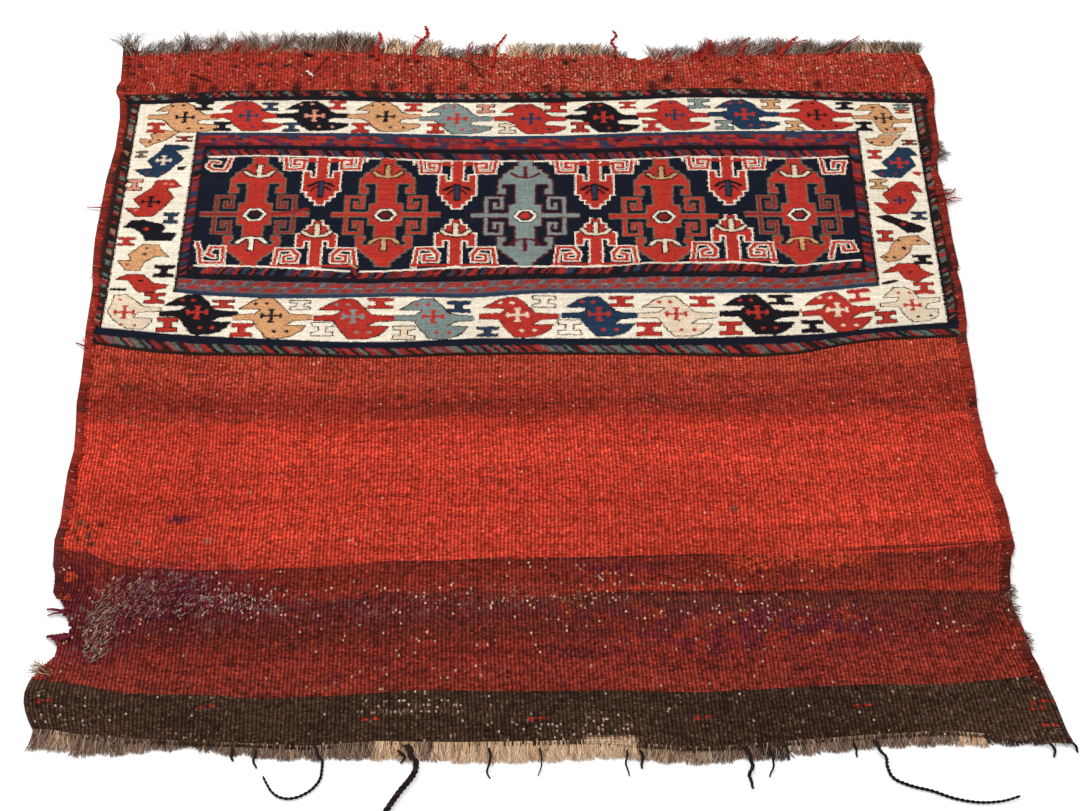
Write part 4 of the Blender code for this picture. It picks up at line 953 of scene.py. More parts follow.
def back_dyes(u, v):
    """Dyes of the plain back."""
    uu, vv, x, y = cell_values(u, v)
    rng = np.random.default_rng(41)
    shape = uu.shape
    pick_early = rng.random(shape)
    drift = 2.2 * noise_field(shape, (24, 40), 51) + 1.2 * noise_field(shape, (4, 9), 52)
    near_edge = 0.35 + 0.65 * ramp(abs(vv - 160), 2, 14)
    dyes = dye_along(vv + drift * near_edge, BACK_DYES)
    dyes = vary(dyes, 61, 1.5)
    # Long streaks where a new batch of yarn begins
    streak = noise_field(shape, (1.8, 120), 71) * 0.5 + noise_field(shape, (4, 200), 72) * 0.5
    dyes = dyes * (1 + 0.20 * streak[..., None])
    browns = ramp(vv, 284, 312) * (1 - ramp(vv, 344, 362))
    dark = noise_field(shape, (2.0, 22), 73) * 0.7 + noise_field(shape, (2.2, 8), 74) * 0.6
    dark = np.clip(dark - 0.22, 0, 1)
    dyes = blend(dyes, np.clip(dark * 1.1 * browns, 0, 0.6), (104, 50, 40))
    right_part = ramp(x, 110, 135) * (1 - ramp(x, 205, 225))
    teeth = (vv > 150 + 5 * np.clip(noise_field(shape, (200, 3), 77), -1, 1)) & (vv < 161)
    dyes = blend(dyes, teeth * right_part * (pick_early < 0.75) * 0.85, (204, 78, 48))
    low_dark = noise_field(shape, (1.8, 18), 75) * 0.7 + noise_field(shape, (2, 6), 76) * 0.6
    low_dark = np.clip(low_dark - 0.28, 0, 1)
    low = 1 - ramp(vv, 152, 162)
    dyes = blend(dyes, np.clip(low_dark * 1.3 * low, 0, 0.65), (90, 40, 36))
    # Bright and dark single stitches
    pick = rng.random(shape)
    dyes = blend(dyes, (pick < 0.09) * low * 0.6, (186, 66, 44))
    dyes = blend(dyes, (pick > 0.90) * low * 0.6, (66, 28, 28))
    dyes = blend(dyes, (pick < 0.035) * (1 - low) * 0.5, (236, 120, 92))
    dyes = blend(dyes, (pick > 0.975) * (1 - low) * 0.5, (132, 40, 32))
    # Mottled purple, grey and orange where the weft has been renewed and worn again
    fine, coarse = noise_field(shape, (1.6, 2.4), 81), noise_field(shape, (4, 6), 82)
    zone = worn_zone(x, y)
    mottle = 0.6 * fine + 0.7 * coarse
    dyes = blend(dyes, zone * (mottle > -0.20) * 0.80, (102, 36, 54))
    dyes = blend(dyes, zone * (mottle > 0.46) * 0.6, (122, 96, 86))
    dyes = blend(dyes, zone * (mottle < -0.28) * 0.7, (66, 28, 30))
    dyes = blend(dyes, zone * (fine > 0.74) * 0.6, (140, 124, 104))
    right = np.clip(1.25 * spots_at(x, y, 168, -232, 60, 19) + 0.8 * spots_at(x, y, 50, -222, 60, 8)
                    + 0.7 * spots_at(x, y, 45, -187, 34, 7) + 0.6 * spots_at(x, y, 90, -250, 50, 12), 0, 1)
    dyes = blend(dyes, right * (mottle > 0.02) * 0.8, (106, 36, 56))
    dyes = blend(dyes, right * (mottle < -0.30) * 0.5, (184, 64, 44))
    dyes = blend(dyes, right * (fine > 0.62) * 0.5, (92, 60, 58))
    edge = np.clip(1.3 * spots_at(x, y, -302, -198, 17, 22), 0, 1)
    dyes = blend(dyes, edge * (mottle > -0.3) * 0.8, (84, 28, 38))
    dyes = blend(dyes, edge * (mottle < -0.38) * 0.8, (190, 74, 44))
    orange = np.clip(1.2 * spots_at(x, y, -278, -200, 13, 12), 0, 1)
    dyes = blend(dyes, orange * (mottle > 0.0) * 0.7, (176, 66, 42))
    lower = np.clip(spots_at(x, y, -215, -268, 70, 14) + spots_at(x, y, 100, -262, 90, 16), 0, 1)
    dyes = blend(dyes, lower * (mottle > 0.42) * 0.55, (84, 30, 36))
    # Stains and marks of the red stripe
    dyes = blend(dyes, np.clip(spots_at(x, y, -238, -139.5, 7, 3.2) * (1.5 + fine), 0, 0.9), (66, 28, 48))
    dyes = blend(dyes, np.clip(spots_at(x, y, -226, -138, 5, 1.4) * 1.2, 0, 0.8), (120, 36, 40))
    dyes = spot_marks(dyes, x, y, STAINS, 1.5, 0.9)
    line = abs(y - (-38 - (x + 300) * 12 / 38)) < 1.6
    worn = line & (x > -302) & (x < -262)
    dyes = blend(dyes, worn * (rng.random(shape) < 0.75) * 0.4, (134, 104, 76))
    # The dark line and the lighter band at the right
    edge_line = np.exp(-((y - (-165 + (x - 200) * 0.07 - 3)) / 1.5) ** 2) * ramp(x, 150, 230)
    dyes = blend(dyes, np.clip(edge_line, 0, 0.8), (72, 30, 28))
    light = np.exp(-((y + 199) / 4.5) ** 2) * ramp(x, 190, 250)
    dyes = blend(dyes, np.clip(light * 0.6, 0, 0.6), (172, 58, 40))
    # The orange streak that runs along the stripe, and the browns below it
    line_y = np.interp(x, (-40, 30, 70, 130, 230), (-213, -207, -203, -204, -203))
    streak_line = np.exp(-((y - line_y + 1.5 * fine) / 2.0) ** 2) * ramp(x, -40, 20) * (0.75 + 0.25 * coarse)
    dyes = blend(dyes, np.clip(streak_line, 0, 0.85), (196, 66, 42))
    brown = np.exp(-((y + 216 + 3 * coarse) / 7) ** 2) * ramp(x, -60, 40)
    dyes = blend(dyes, np.clip(brown * 0.55, 0, 0.6), (98, 56, 40))
    under = np.exp(-((y + 208.5 + fine) / 1.8) ** 2) * ramp(x, -60, 60)
    dyes = blend(dyes, np.clip(under * 0.7, 0, 0.7), (72, 30, 30))
    # Bare warps: single pale beads, close together only in the worn places
    bare = 0.0006 + 0.0012 * low + 0.022 * zone ** 2
    for share, *spot in BARE_PLACES:
        bare = bare + share * spots_at(x, y, *spot)
    dyes = warp_specks(dyes, bare, (226, 194, 160), rng)
    dyes = warp_specks(dyes, bare * 0.5, (150, 118, 100), rng)
    for sx, sy, wide in PALE_STITCHES:
        dyes = blend(dyes, (abs(x - sx) < wide) * (abs(y - sy) < 1.1) * 0.8, (228, 186, 156))
    return dyes, x, y


back_u, back_v = rib_grid(V_BAND, V_PANEL, 2.0)
back_z = rib_height(back_u, back_v, 0.62, 101)
back_colour, back_x, back_y = back_dyes(back_u, back_v)
rough = edge_x(TORN_EDGE, back_y) + 0.8 * noise_field(back_x.shape, (1.2, 3), 111)
keep = (back_x > rough) | (back_y > -200) | (back_y < -291)
cloth.append(woven_sheet("plain_back", back_u, back_v, back_z, back_colour, keep))


# Red tie marks of the band
TIE_MARKS = ((-306, -303), (-205, -308), (-104, -318), (-2, -318), (100, -317), (199, -307), (307, -304),
             (314, -303), (306, -309), (312, -323))


def band_dyes(u, v):
    """Dyes of the dark closure band: brown wool with grey warps and red tie marks."""
    uu, vv, x, y = cell_values(u, v)
    rng = np.random.default_rng(43)
    shape = uu.shape
    dyes = np.broadcast_to(linear((66, 50, 39)), (*shape, 3)).copy()
    dyes = vary(dyes, 65, 1.8)
    lighter = ramp(abs(uu), 180, 300) * 0.2 + 0.3 * noise_field(shape, (8, 40), 91)
    lighter += 0.2 * noise_field(shape, (2, 9), 92)
    dyes = blend(dyes, np.clip(lighter, 0, 0.5), (96, 76, 58))
    pick = rng.random(shape)
    dyes = blend(dyes, (pick < 0.06) * 0.5, (126, 104, 84))
    dyes = blend(dyes, (pick > 0.92) * 0.6, (38, 26, 22))
    rows = (abs(y + 303) < 1.1) | (abs(y + 307) < 1.1) | (abs(y + 312) < 1.1)
    rows &= (x > -115) & (x < -42)
    specks = (0.003 + 0.18 * rows + 0.10 * spots_at(x, y, 40, -322, 14, 8)
              + 0.07 * spots_at(x, y, -285, -318, 18, 12)
              + 0.22 * spots_at(x, y, -78, -293, 24, 2.4) + 0.03 * (1 - ramp(vv, 2, 7))
              + 0.03 * spots_at(x, y, 20, -326, 60, 9))
    dyes = warp_specks(dyes, specks, (202, 184, 160), rng)
    dyes = warp_specks(dyes, specks * 0.4 + 0.008, (120, 100, 80), rng, 2)
    for mx, my in TIE_MARKS:
        for side in (-3.3, 3.3):
            blob = np.clip(2.0 * spots_at(x, y, mx + side, my + 0.1 * side, 2.0, 1.25) - 0.3, 0, 0.92)
            dyes = blend(dyes, blob, (190, 56, 38))
    bare = ramp(x, 26, 30) * (1 - ramp(x, 56, 60)) * (1 - ramp(y, -336, -331))
    return blend(dyes, np.clip(bare, 0, 0.9), (216, 188, 154))


band_u, band_v = rib_grid(0, V_BAND, 1.8)
band_z = rib_height(band_u, band_v, 0.7, 131)
band_z -= 0.6 * (1 - ramp(band_v, 0, 3))[:, None]
cloth.append(woven_sheet("closure_band", band_u, band_v, band_z, band_dyes(band_u, band_v)))


# Dark marks of the strip, with their middle and radii, and brown ones, with their middle and length
STRIP_MARKS = (
    (-315, 383, 2.4, 2), (-183, 398, 5, 2.6), (-134, 397, 3, 2.4), (-220, 385, 3, 2), (-212, 385, 2, 2),
    (-200, 384, 3, 2), (-190, 385, 2, 1.6), (-262, 386, 2, 2), (-240, 383, 2.4, 2), (-155, 396, 2, 2),
    (-320, 372, 2, 2), (-106, 391, 2.4, 2), (20, 388, 2.4, 3), (27, 391, 2, 2))
STRIP_LINES = (
    (-271, 352, 8), (-255, 352, 5), (-226, 354, 6), (-190, 354, 6), (-129, 354, 6), (-115, 356, 5),
    (-86, 352, 7), (6, 353, 6), (18, 351, 5), (88, 356, 6), (100, 366, 6), (217, 358, 6), (155, 364, 5),
    (-60, 354, 5))


def strip_dyes(u, v):
    """Dyes of the red strip at the mouth: red wool with grey and tan warps showing."""
    _, _, x, y = cell_values(u, v)
    rng = np.random.default_rng(47)
    shape = x.shape
    dyes = np.broadcast_to(linear((176, 62, 47)), (*shape, 3)).copy()
    dyes = vary(dyes, 67, 1.7)
    left = 1 - ramp(x, -160, -110)
    dyes = blend(dyes, 0.45 * left, (160, 48, 36))
    dyes = blend(dyes, np.clip(0.35 * noise_field(shape, (10, 30), 95) + 0.1, 0, 0.5), (146, 50, 40))
    column = rng.random((1, shape[1])) + 0.6 * noise_field(shape, (9, 3), 96)
    dyes = blend(dyes, np.clip((column - 0.85) * 2, 0, 0.26) * (1 - 0.6 * left), (190, 120, 94))
    dyes = blend(dyes, np.clip((0.16 - column) * 3, 0, 0.35), (110, 50, 40))
    specks = 0.03 + 0.16 * spots_at(x, y, -105, 376, 24, 14)
    specks = specks + 0.13 * spots_at(x, y, 20, 370, 80, 16) - 0.015 * left
    leaning = noise_field(shape, (2.4, 1.8), 98) * noise_field(shape, (5, 7), 99)
    specks = specks + 0.35 * (leaning > 0.30) * (1 - 0.75 * left)
    dyes = warp_specks(dyes, specks, (212, 152, 120), rng)
    dyes = warp_specks(dyes, specks * 0.4 + 0.03, (104, 44, 36), rng)
    dyes = spot_marks(dyes, x, y, [(*mark, (44, 30, 30)) for mark in STRIP_MARKS], 1.4, 0.9)
    dyes = spot_marks(dyes, x, y, [(cx, cy, 3.6, ry, (66, 28, 27)) for cx, cy, ry in STRIP_LINES], 1.3, 0.85)
    return dyes, x, y


strip_u, strip_v = rib_grid(V_STRIP, V_TOP, 1.8)
strip_z = rib_height(strip_u, strip_v, 0.6, 151)
strip_colour, strip_x, strip_y = strip_dyes(strip_u, strip_v)
strip_z -= 0.8 * ramp(strip_v, V_TOP - 3, V_TOP)[:, None]
fray = 399 + 2.2 * noise_field(strip_x.shape, (40, 5), 161) - 9 * spots_at(strip_x, 0, 76, 0, 12, 1)
keep = (strip_y < fray + 3) | (strip_x < -60)
cloth.append(woven_sheet("mouth_strip", strip_u, strip_v, strip_z, strip_colour, keep))


def underside():
    """The lower side of the whole cloth, one plain sheet with turned-up edges."""
    u = np.concatenate([[-HALF], np.linspace(-HALF + 2, HALF - 2, 77), [HALF]])
    v = np.concatenate([[0], np.linspace(2, V_TOP - 2, 150), [V_TOP]])
    uu, _ = np.meshgrid(u, v)
    z = 0.25 + 0.9 * ramp(abs(uu), HALF - 2.5, HALF)
    z[[0, -1]] += 0.8
    _, cell_v, cx, cy = cell_values(u, v)
    keep = (cx > edge_x(TORN_EDGE, cy) + 1.5) | (cy > -205) | (cy < -288)
    keep &= ~((cy > 388) & (abs(cx - 76) < 12))
    dyes = dye_along(np.clip(cell_v, V_BAND, V_PANEL), BACK_DYES)
    dyes = blend(dyes, (cell_v < V_BAND) * 1.0, (60, 46, 37))
    dyes = blend(dyes, (cell_v > V_STRIP) * 1.0, (186, 56, 42))
    face = (cell_v > V_PANEL) & (cell_v < V_STRIP)
    loose = noise_field(cx.shape, (2, 3), 171)
    dyes = blend(dyes, face * (loose > -0.2) * 0.9, (200, 186, 164))
    dyes = blend(dyes, face * (loose < -0.3) * 0.9, (150, 50, 42))
    dyes = blend(dyes, face * (abs(loose) < 0.12) * 0.9, (44, 50, 66))
    return woven_sheet("cloth_underside", u, v, z, vary(dyes, 69, 1.4), keep, facing_down=True)


lower_side = underside()


def binding(name, side, y_low, y_high, seed):
    """A roll of wool wraps along a side edge: uneven leaning beads in mixed red wool, with painted shade in
    the grooves between beads.
    """
    sides, per_bead = 12, 4
    rng = np.random.default_rng(seed)
    widths = 2.9 * (0.55 + 0.95 * rng.random(int((y_high - y_low) / 2.9) + 40))
    ends = y_low + np.concatenate([[0], np.cumsum(widths)])
    ends = np.append(ends[ends < y_high - 1.5], y_high)
    beads = len(ends) - 1
    part = np.arange(per_bead) / per_bead
    y = np.append((ends[:-1, None] + np.diff(ends)[:, None] * part).ravel(), y_high)
    outer = edge_x(LEFT_EDGE if side < 0 else RIGHT_EDGE, y)
    bulge = np.append(np.tile(np.sin(part * math.pi), beads), 0)
    jitter = np.append(np.repeat(rng.random(beads) * 2 - 1, per_bead), 0)
    wide = 3.3 + 0.30 * bulge + 0.45 * jitter
    tall = 1.95 + 0.30 * bulge + 0.2 * jitter
    ring = np.arange(sides) * 2 * math.pi / sides
    middle = outer - side * wide
    px = middle[:, None] + np.cos(ring)[None, :] * wide[:, None]
    py = y[:, None] + 1.1 * np.cos(ring)[None, :] * side
    pz = np.maximum(tall[:, None] * (1 + np.sin(ring)[None, :]), 0.02)
    end = np.minimum(np.arange(len(y)), np.arange(len(y))[::-1]) / 3.0
    shrink = np.clip(0.45 + 0.55 * end, 0, 1)[:, None]
    px = middle[:, None] + (px - middle[:, None]) * shrink
    pz = pz * shrink
    points = in_frame(px, py, pz).reshape(-1, 3)
    faces = tube_faces(len(y), sides).tolist()
    faces += [list(range(sides))[::-1], list(range(len(points) - sides, len(points)))]
    mid_y = (y[:-1] + y[1:]) / 2
    red, wine = linear((170, 54, 40)), linear((92, 38, 34))
    share = np.clip(ramp(-mid_y, 148, 175) + 0.75 * np.exp(-((mid_y + 21) / 9) ** 2)
                    + ramp(mid_y, 60, 110) * (0.25 if side < 0 else 0.45) * (1 - ramp(mid_y, 300, 345)), 0, 1)
    bead_share = np.repeat(rng.random(beads), per_bead)
    share = np.clip(share + 0.5 * (bead_share > 0.8) - 0.15, 0, 1)[:, None]
    base = red * (1 - share) + wine * share
    patch = noise_field((beads, 2), (4, 2), seed + 9)[:, 0]
    tone = np.repeat(0.84 + 0.26 * patch + 0.30 * (rng.random(beads) - 0.5), per_bead)
    # Painted shade: each bead is darker towards the grooves at its two ends
    groove_shade = np.tile(0.66 + 0.34 * np.sin((part + 0.5 / per_bead) * math.pi), beads)
    rows = base * (tone * groove_shade)[:, None]
    rows[np.repeat(patch > 0.66, per_bead)] = linear((98, 42, 35))
    speck = rng.random((len(rows), sides))
    cell = rows[:, None, :] * (0.72 + 0.5 * speck[..., None])
    cell[speck > 0.985] = linear((200, 120, 92))
    colours = np.vstack([cell.reshape(-1, 3), rows[:1], rows[-1:]])
    return dyed_mesh(name, points, faces, colours)


left_roll = binding("left_binding_wraps", -1, -212, 399, 201)
right_roll = binding("right_binding_wraps", 1, -208, 399, 203)
right_end = binding("right_binding_end_wraps", 1, -292, -252, 205)


class Hairs:
    """Loose yarn ends: many thin tapered strands in one mesh."""

    def __init__(self):
        self.points, self.faces, self.colours = [], [], []
        self.count = 0

    def tubes(self, x, y, z, theta, radius, turns, tall, low):
        """A tube along each row of places, with the way it runs and its radius at each of them."""
        ring = []
        for turn in turns:
            out = np.cos(turn) * radius
            ring.append(np.stack([x - np.sin(theta) * out, y + np.cos(theta) * out,
                                  np.maximum(z + np.sin(turn) * radius * tall, low)], axis=-1))
        many, rings = x.shape
        first = self.count + np.arange(many)[:, None, None] * rings * len(turns)
        self.points.append(np.stack(ring, axis=2).reshape(-1, 3))
        self.faces.append(tube_faces(rings, len(turns), first))
        self.count += len(self.points[-1])

    def add(self, x, y, angle, length, colour, width, height, curl, spread, land, seed, lift=0.0, segments=4):
        """Strands in plan millimetres; angle is the way they point, in radians from the x axis."""
        rng = np.random.default_rng(seed)
        n = len(x)
        t = np.linspace(0, 1, segments + 1)
        bend = (rng.random(n) * 2 - 1) * curl
        theta = angle[:, None] + bend[:, None] * t + spread * (rng.random(n) * 2 - 1)[:, None]
        step = (length / segments)[:, None]
        zero = np.zeros((n, 1))
        px = x[:, None] + np.hstack([zero, np.cumsum(np.cos(theta[:, :-1]) * step, axis=1)])
        py = y[:, None] + np.hstack([zero, np.cumsum(np.sin(theta[:, :-1]) * step, axis=1)])
        start = height * (0.6 + 0.5 * rng.random(n))
        pz = start[:, None] * (1 - t) ** 1.3 + land * t * (0.6 + rng.random(n))[:, None]
        pz = pz + lift * np.sin(t * math.pi) * rng.random(n)[:, None]
        radius = width * (0.75 + 0.5 * rng.random(n))[:, None] * (1 - 0.72 * t)
        turns = 2 * math.pi * np.arange(3) / 3 + math.pi / 2
        self.tubes(px, py, pz, theta, radius, turns, 0.8, 0.03)
        tone = colour * (0.72 + 0.5 * rng.random(n))[:, None]
        self.colours.append(np.repeat(tone, segments * 3, axis=0))

    def thread(self, path, colour, width, seed, strands, high, low):
        """A loose thread: a few yarns side by side along a smooth route in plan millimetres."""
        route, length = smooth_route([Vector((x, y, 0)) for x, y in path], 1.4)
        rng = np.random.default_rng(seed)
        line = np.array([(p.x, p.y) for p in route])
        way = np.gradient(line, axis=0)
        theta = np.arctan2(way[:, 1], way[:, 0])
        t = np.linspace(0, 1, len(line))
        turns = 2 * math.pi * np.arange(5) / 5
        for s in range(strands):
            weave = (s - (strands - 1) / 2) * width * 0.42 * np.cos(t * length * 0.55 + s * 2.1)
            px = line[:, 0] - np.sin(theta) * weave
            py = line[:, 1] + np.cos(theta) * weave
            pz = high + (low - high) * t + 0.3 * np.sin(t * length * 0.5 + s)
            radius = width * 0.55 * (1 - 0.55 * t ** 3)
            self.tubes(px[None], py[None], pz[None], theta[None], radius[None], turns, 1, 0.05)
            tone = linear(colour) * (0.8 + 0.4 * rng.random())
            self.colours.append(tone * (0.85 + 0.3 * rng.random(len(self.faces[-1])))[:, None])

    def build(self, name):
        """All strands as one piece."""
        placed = in_frame(*np.concatenate(self.points).T)
        return dyed_mesh(name, placed, np.concatenate(self.faces), np.concatenate(self.colours))


def pick_colours(rng, choices, count):
    """Random dyes out of a list of (share, colour)."""
    shares = np.array([s for s, _ in choices], float)
    which = rng.choice(len(choices), size=count, p=shares / shares.sum())
    return linear([c for _, c in choices])[which]


GREY_BROWN = ((4, (152, 122, 104)), (3, (120, 92, 76)), (2, (186, 156, 134)), (1, (84, 60, 50)))
PALE = ((3, (226, 190, 154)), (2, (204, 164, 128)), (1, (160, 120, 92)), (2, (240, 214, 184)))
BEIGE = ((3, (186, 154, 126)), (2, (150, 118, 94)), (1, (110, 84, 68)), (1, (214, 186, 158)))
DARK = ((3, (62, 46, 38)), (2, (90, 70, 56)), (1, (132, 108, 88)), (1, (190, 170, 148)))
GREY = ((3, (140, 126, 114)), (2, (102, 88, 78)), (2, (200, 188, 174)))
RED = ((3, (170, 46, 36)), (2, (140, 38, 32)), (1, (196, 66, 48)))
RED_GREY = ((3, (160, 48, 38)), (2, (120, 96, 82)), (1, (84, 60, 50)))
# Fringe below the band: from, to, dyes, and how far down the ends reach at both
LOW_FRINGE = (
    (-309, -296, GREY_BROWN, -345, -346), (-296, -282, BEIGE, -346, -347),
    (-282, -252, GREY_BROWN, -350, -349), (-252, -205, GREY_BROWN, -348, -343),
    (-205, -160, GREY_BROWN, -347, -352), (-160, -100, GREY_BROWN, -353, -353),
    (-100, -75, PALE, -353, -354), (-75, -65, GREY_BROWN, -354, -354), (-65, -30, PALE, -354, -356),
    (-30, 30, PALE, -356, -353), (30, 60, PALE, -351, -353), (60, 104, BEIGE, -354, -357),
    (104, 131, GREY_BROWN, -356, -352), (131, 150, DARK, -354, -352), (150, 200, GREY_BROWN, -350, -344),
    (200, 255, GREY_BROWN, -343, -341), (255, 271, PALE, -342, -342), (271, 300, DARK, -341, -341),
    (300, 323, RED_GREY, -340, -339))
# Fringe at the mouth: from, to, dyes, how far up the ends reach, lean, thickness
TOP_FRINGE = (
    (-331, -318, DARK, 418, 437, 90, 0.34), (-320, -288, GREY, 410, 425, 72, 0.34),
    (-290, -277, DARK, 418, 436, 95, 0.34), (-277, -262, RED_GREY, 412, 426, 80, 0.34),
    (-264, -243, GREY_BROWN, 416, 438, 95, 0.34), (-240, -196, GREY_BROWN, 418, 438, 80, 0.34),
    (-250, -205, RED, 410, 424, 90, 0.34), (-198, -180, GREY, 414, 428, 75, 0.34),
    (-184, -138, DARK, 418, 438, 90, 0.34), (-190, -136, RED_GREY, 412, 428, 85, 0.34),
    (-184, -138, GREY_BROWN, 416, 432, 80, 0.34), (-140, -122, RED_GREY, 410, 424, 85, 0.34),
    (-124, -78, PALE, 410, 425, 82, 0.85), (-124, -78, GREY_BROWN, 408, 420, 80, 0.5),
    (-80, -56, GREY, 404, 410, 78, 0.5), (-58, -40, RED_GREY, 406, 418, 90, 0.34),
    (-40, -18, PALE, 407, 419, 85, 0.7), (-20, 56, PALE, 406, 418, 84, 0.75),
    (-20, 56, RED, 403, 409, 88, 0.4), (-10, 50, GREY, 408, 418, 85, 0.34),
    (54, 68, GREY, 402, 407, 80, 0.34), (88, 120, GREY, 404, 416, 80, 0.4),
    (88, 125, RED, 402, 410, 85, 0.34), (118, 150, RED, 408, 424, 75, 0.34),
    (128, 200, RED_GREY, 409, 424, 70, 0.34), (138, 202, GREY, 408, 426, 62, 0.34),
    (200, 242, DARK, 409, 421, 65, 0.34), (203, 250, GREY_BROWN, 409, 423, 60, 0.34),
    (248, 276, PALE, 410, 422, 80, 0.6), (248, 280, GREY_BROWN, 410, 421, 80, 0.34),
    (262, 301, DARK, 411, 421, 98, 0.34), (276, 301, GREY_BROWN, 411, 421, 98, 0.34))


def lower_fringe():
    """Warp ends below the closure band, close together and nearly even."""
    hairs = Hairs()
    rng = np.random.default_rng(301)
    for k, (x0, x1, dyes, y0, y1) in enumerate(LOW_FRINGE):
        count = int((x1 - x0) * 5.6)
        x = x0 + (x1 - x0) * rng.random(count)
        tip = y0 + (y1 - y0) * (x - x0) / (x1 - x0) + 2.6 * rng.random(count) + 1.2 * np.sin(x * 0.33 + k)
        root = weft_y(x, 0.0) + 3.5
        angle = np.full(count, -math.pi / 2) + 0.10 * (rng.random(count) * 2 - 1)
        hairs.add(x, root, angle, np.maximum(root - tip, 2), pick_colours(rng, dyes, count), 0.72, 2.9, 0.9,
                  0.14, 0.6, 400 + k, segments=3)
    return hairs.build("lower_fringe")


def upper_fringe():
    """Warp ends and cut wool at the mouth edge, in clumps of uneven length."""
    hairs = Hairs()
    rng = np.random.default_rng(303)
    for k, (x0, x1, dyes, low, high, lean, thick) in enumerate(TOP_FRINGE):
        count = int((x1 - x0) * 1.5 / thick)
        x = x0 + (x1 - x0) * rng.random(count)
        clump = 0.5 + 0.5 * np.sin(x * 0.9 + k * 1.7) * np.sin(x * 0.37 + k)
        tip = low + (high - low) * (0.45 * rng.random(count) + 0.75 * clump)
        root = weft_y(x, V_TOP) - 3 - 5 * rng.random(count)
        angle = np.radians(lean) + 0.34 * np.sin(x * 0.21 + k) + 0.22 * (rng.random(count) * 2 - 1)
        hairs.add(x, root, angle, np.maximum(tip - root, 3) / np.maximum(np.sin(angle), 0.6),
                  pick_colours(rng, dyes, count), thick, 3.1, 1.2, 0.12, 0.6, 500 + k, lift=2.0)
    return hairs.build("upper_fringe")


# Tufts at the sides: middle, reach, way, length, count, dyes
TUFTS = (
    (305, 265, 4, 6, 0.1, 9, 46, DARK), (306, 276, 3, 6, -0.3, 8, 26, DARK),
    (304, 215, 2, 4, 0.25, 9, 22, RED), (305, 208, 2, 3, -0.15, 10, 16, RED),
    (306, 219, 2, 2, 0.8, 8, 6, DARK), (300, 196, 2, 5, 0.4, 3, 14, PALE),
    (-312, -278, 5, 4, 2.9, 10, 46, BEIGE), (-318, 41, 3, 3, 2.5, 9, 16, RED),
    (-320, 200, 2, 1.2, 3.0, 11, 10, RED), (-321, 120, 2, 4, 3.1, 7, 24, GREY),
    (302, -226, 3, 10, -0.2, 7, 60, DARK), (301, -214, 3, 6, 0.0, 7, 34, GREY),
    (304, -96, 2, 3, 0.2, 5, 20, DARK), (305, -207, 2, 4, 0.3, 4, 18, DARK),
    (307, -135, 2, 3, 0.1, 4, 16, RED), (310, -250, 2, 8, -0.2, 4, 26, DARK),
    (302, 130, 2, 4, 0.0, 5, 20, RED), (303, 82, 2, 6, 0.0, 2.5, 12, RED),
    (306, -166, 2, 4, -0.2, 5, 18, RED), (301, -80, 2, 3, 0.3, 3, 10, RED),
    (-316, -160, 2, 6, 3.0, 3, 16, RED), (-325, 352, 3, 4, 3.0, 6, 26, RED),
    (-313, -292, 3, 6, 2.9, 4, 14, DARK), (318, -330, 4, 6, -0.7, 7, 26, DARK))
EDGE_FUZZ = (
    (-1, 560, -205, 395, 1.7, RED, 701), (1, 560, -205, 395, 1.9, RED, 703),
    (-1, 260, -205, 395, 2.2, DARK, 705), (1, 380, -205, 395, 2.8, DARK, 707),
    (1, 330, -300, -200, 3.4, RED_GREY, 709), (1, 150, -200, 60, 4.0, RED, 711))


def tufts():
    """Fuzz and loose ends along the two sides, the torn place and the band's end."""
    hairs = Hairs()
    rng = np.random.default_rng(305)
    for k, (cx, cy, rx, ry, way, length, count, dyes) in enumerate(TUFTS):
        inward = -5 if cx > 0 else 5
        x = cx + inward + rx * 0.7 * (rng.random(count) * 2 - 1)
        y = cy + ry * (rng.random(count) * 2 - 1)
        angle = way + 0.7 * (rng.random(count) * 2 - 1)
        lengths = 3 + length * (0.4 + 0.75 * rng.random(count))
        hairs.add(x, y, angle, lengths, pick_colours(rng, dyes, count), 0.42, 3.4, 1.3, 0.1, 0.6,
                  600 + k, lift=1.0)
    # Sparse fuzz along both edges, longer where the wool is rough
    for side, count, y0, y1, long, dyes, seed in EDGE_FUZZ:
        y = y0 + (y1 - y0) * rng.random(count)
        x = edge_x(LEFT_EDGE if side < 0 else RIGHT_EDGE, y) - side * (1.2 + 3.2 * rng.random(count))
        angle = (math.pi if side < 0 else 0) + 1.5 * (rng.random(count) * 2 - 1)
        lengths = 1.6 + long * rng.random(count) ** 2 * 1.6
        hairs.add(x, y, angle, lengths, pick_colours(rng, dyes, count), 0.24, 3.6, 1.4, 0, 1.6, seed,
                  segments=2)
    return hairs.build("edge_tufts")


# Fuzz of the plain weave: count, loom lines between which it stands, dyes
FUZZ_ZONES = (
    (700, 46, 158, ((3, (150, 60, 48)), (2, (120, 90, 84)), (1, (196, 170, 140)), (1, (90, 40, 56)))),
    (500, 160, 366, ((4, (226, 110, 80)), (1, (150, 50, 40)))),
    (450, 4, 44, ((3, (110, 92, 74)), (2, (60, 48, 40)), (1, (170, 150, 120)))),
    (600, 690, 736, ((4, (206, 104, 80)), (2, (120, 44, 38)), (1, (206, 170, 134)))))
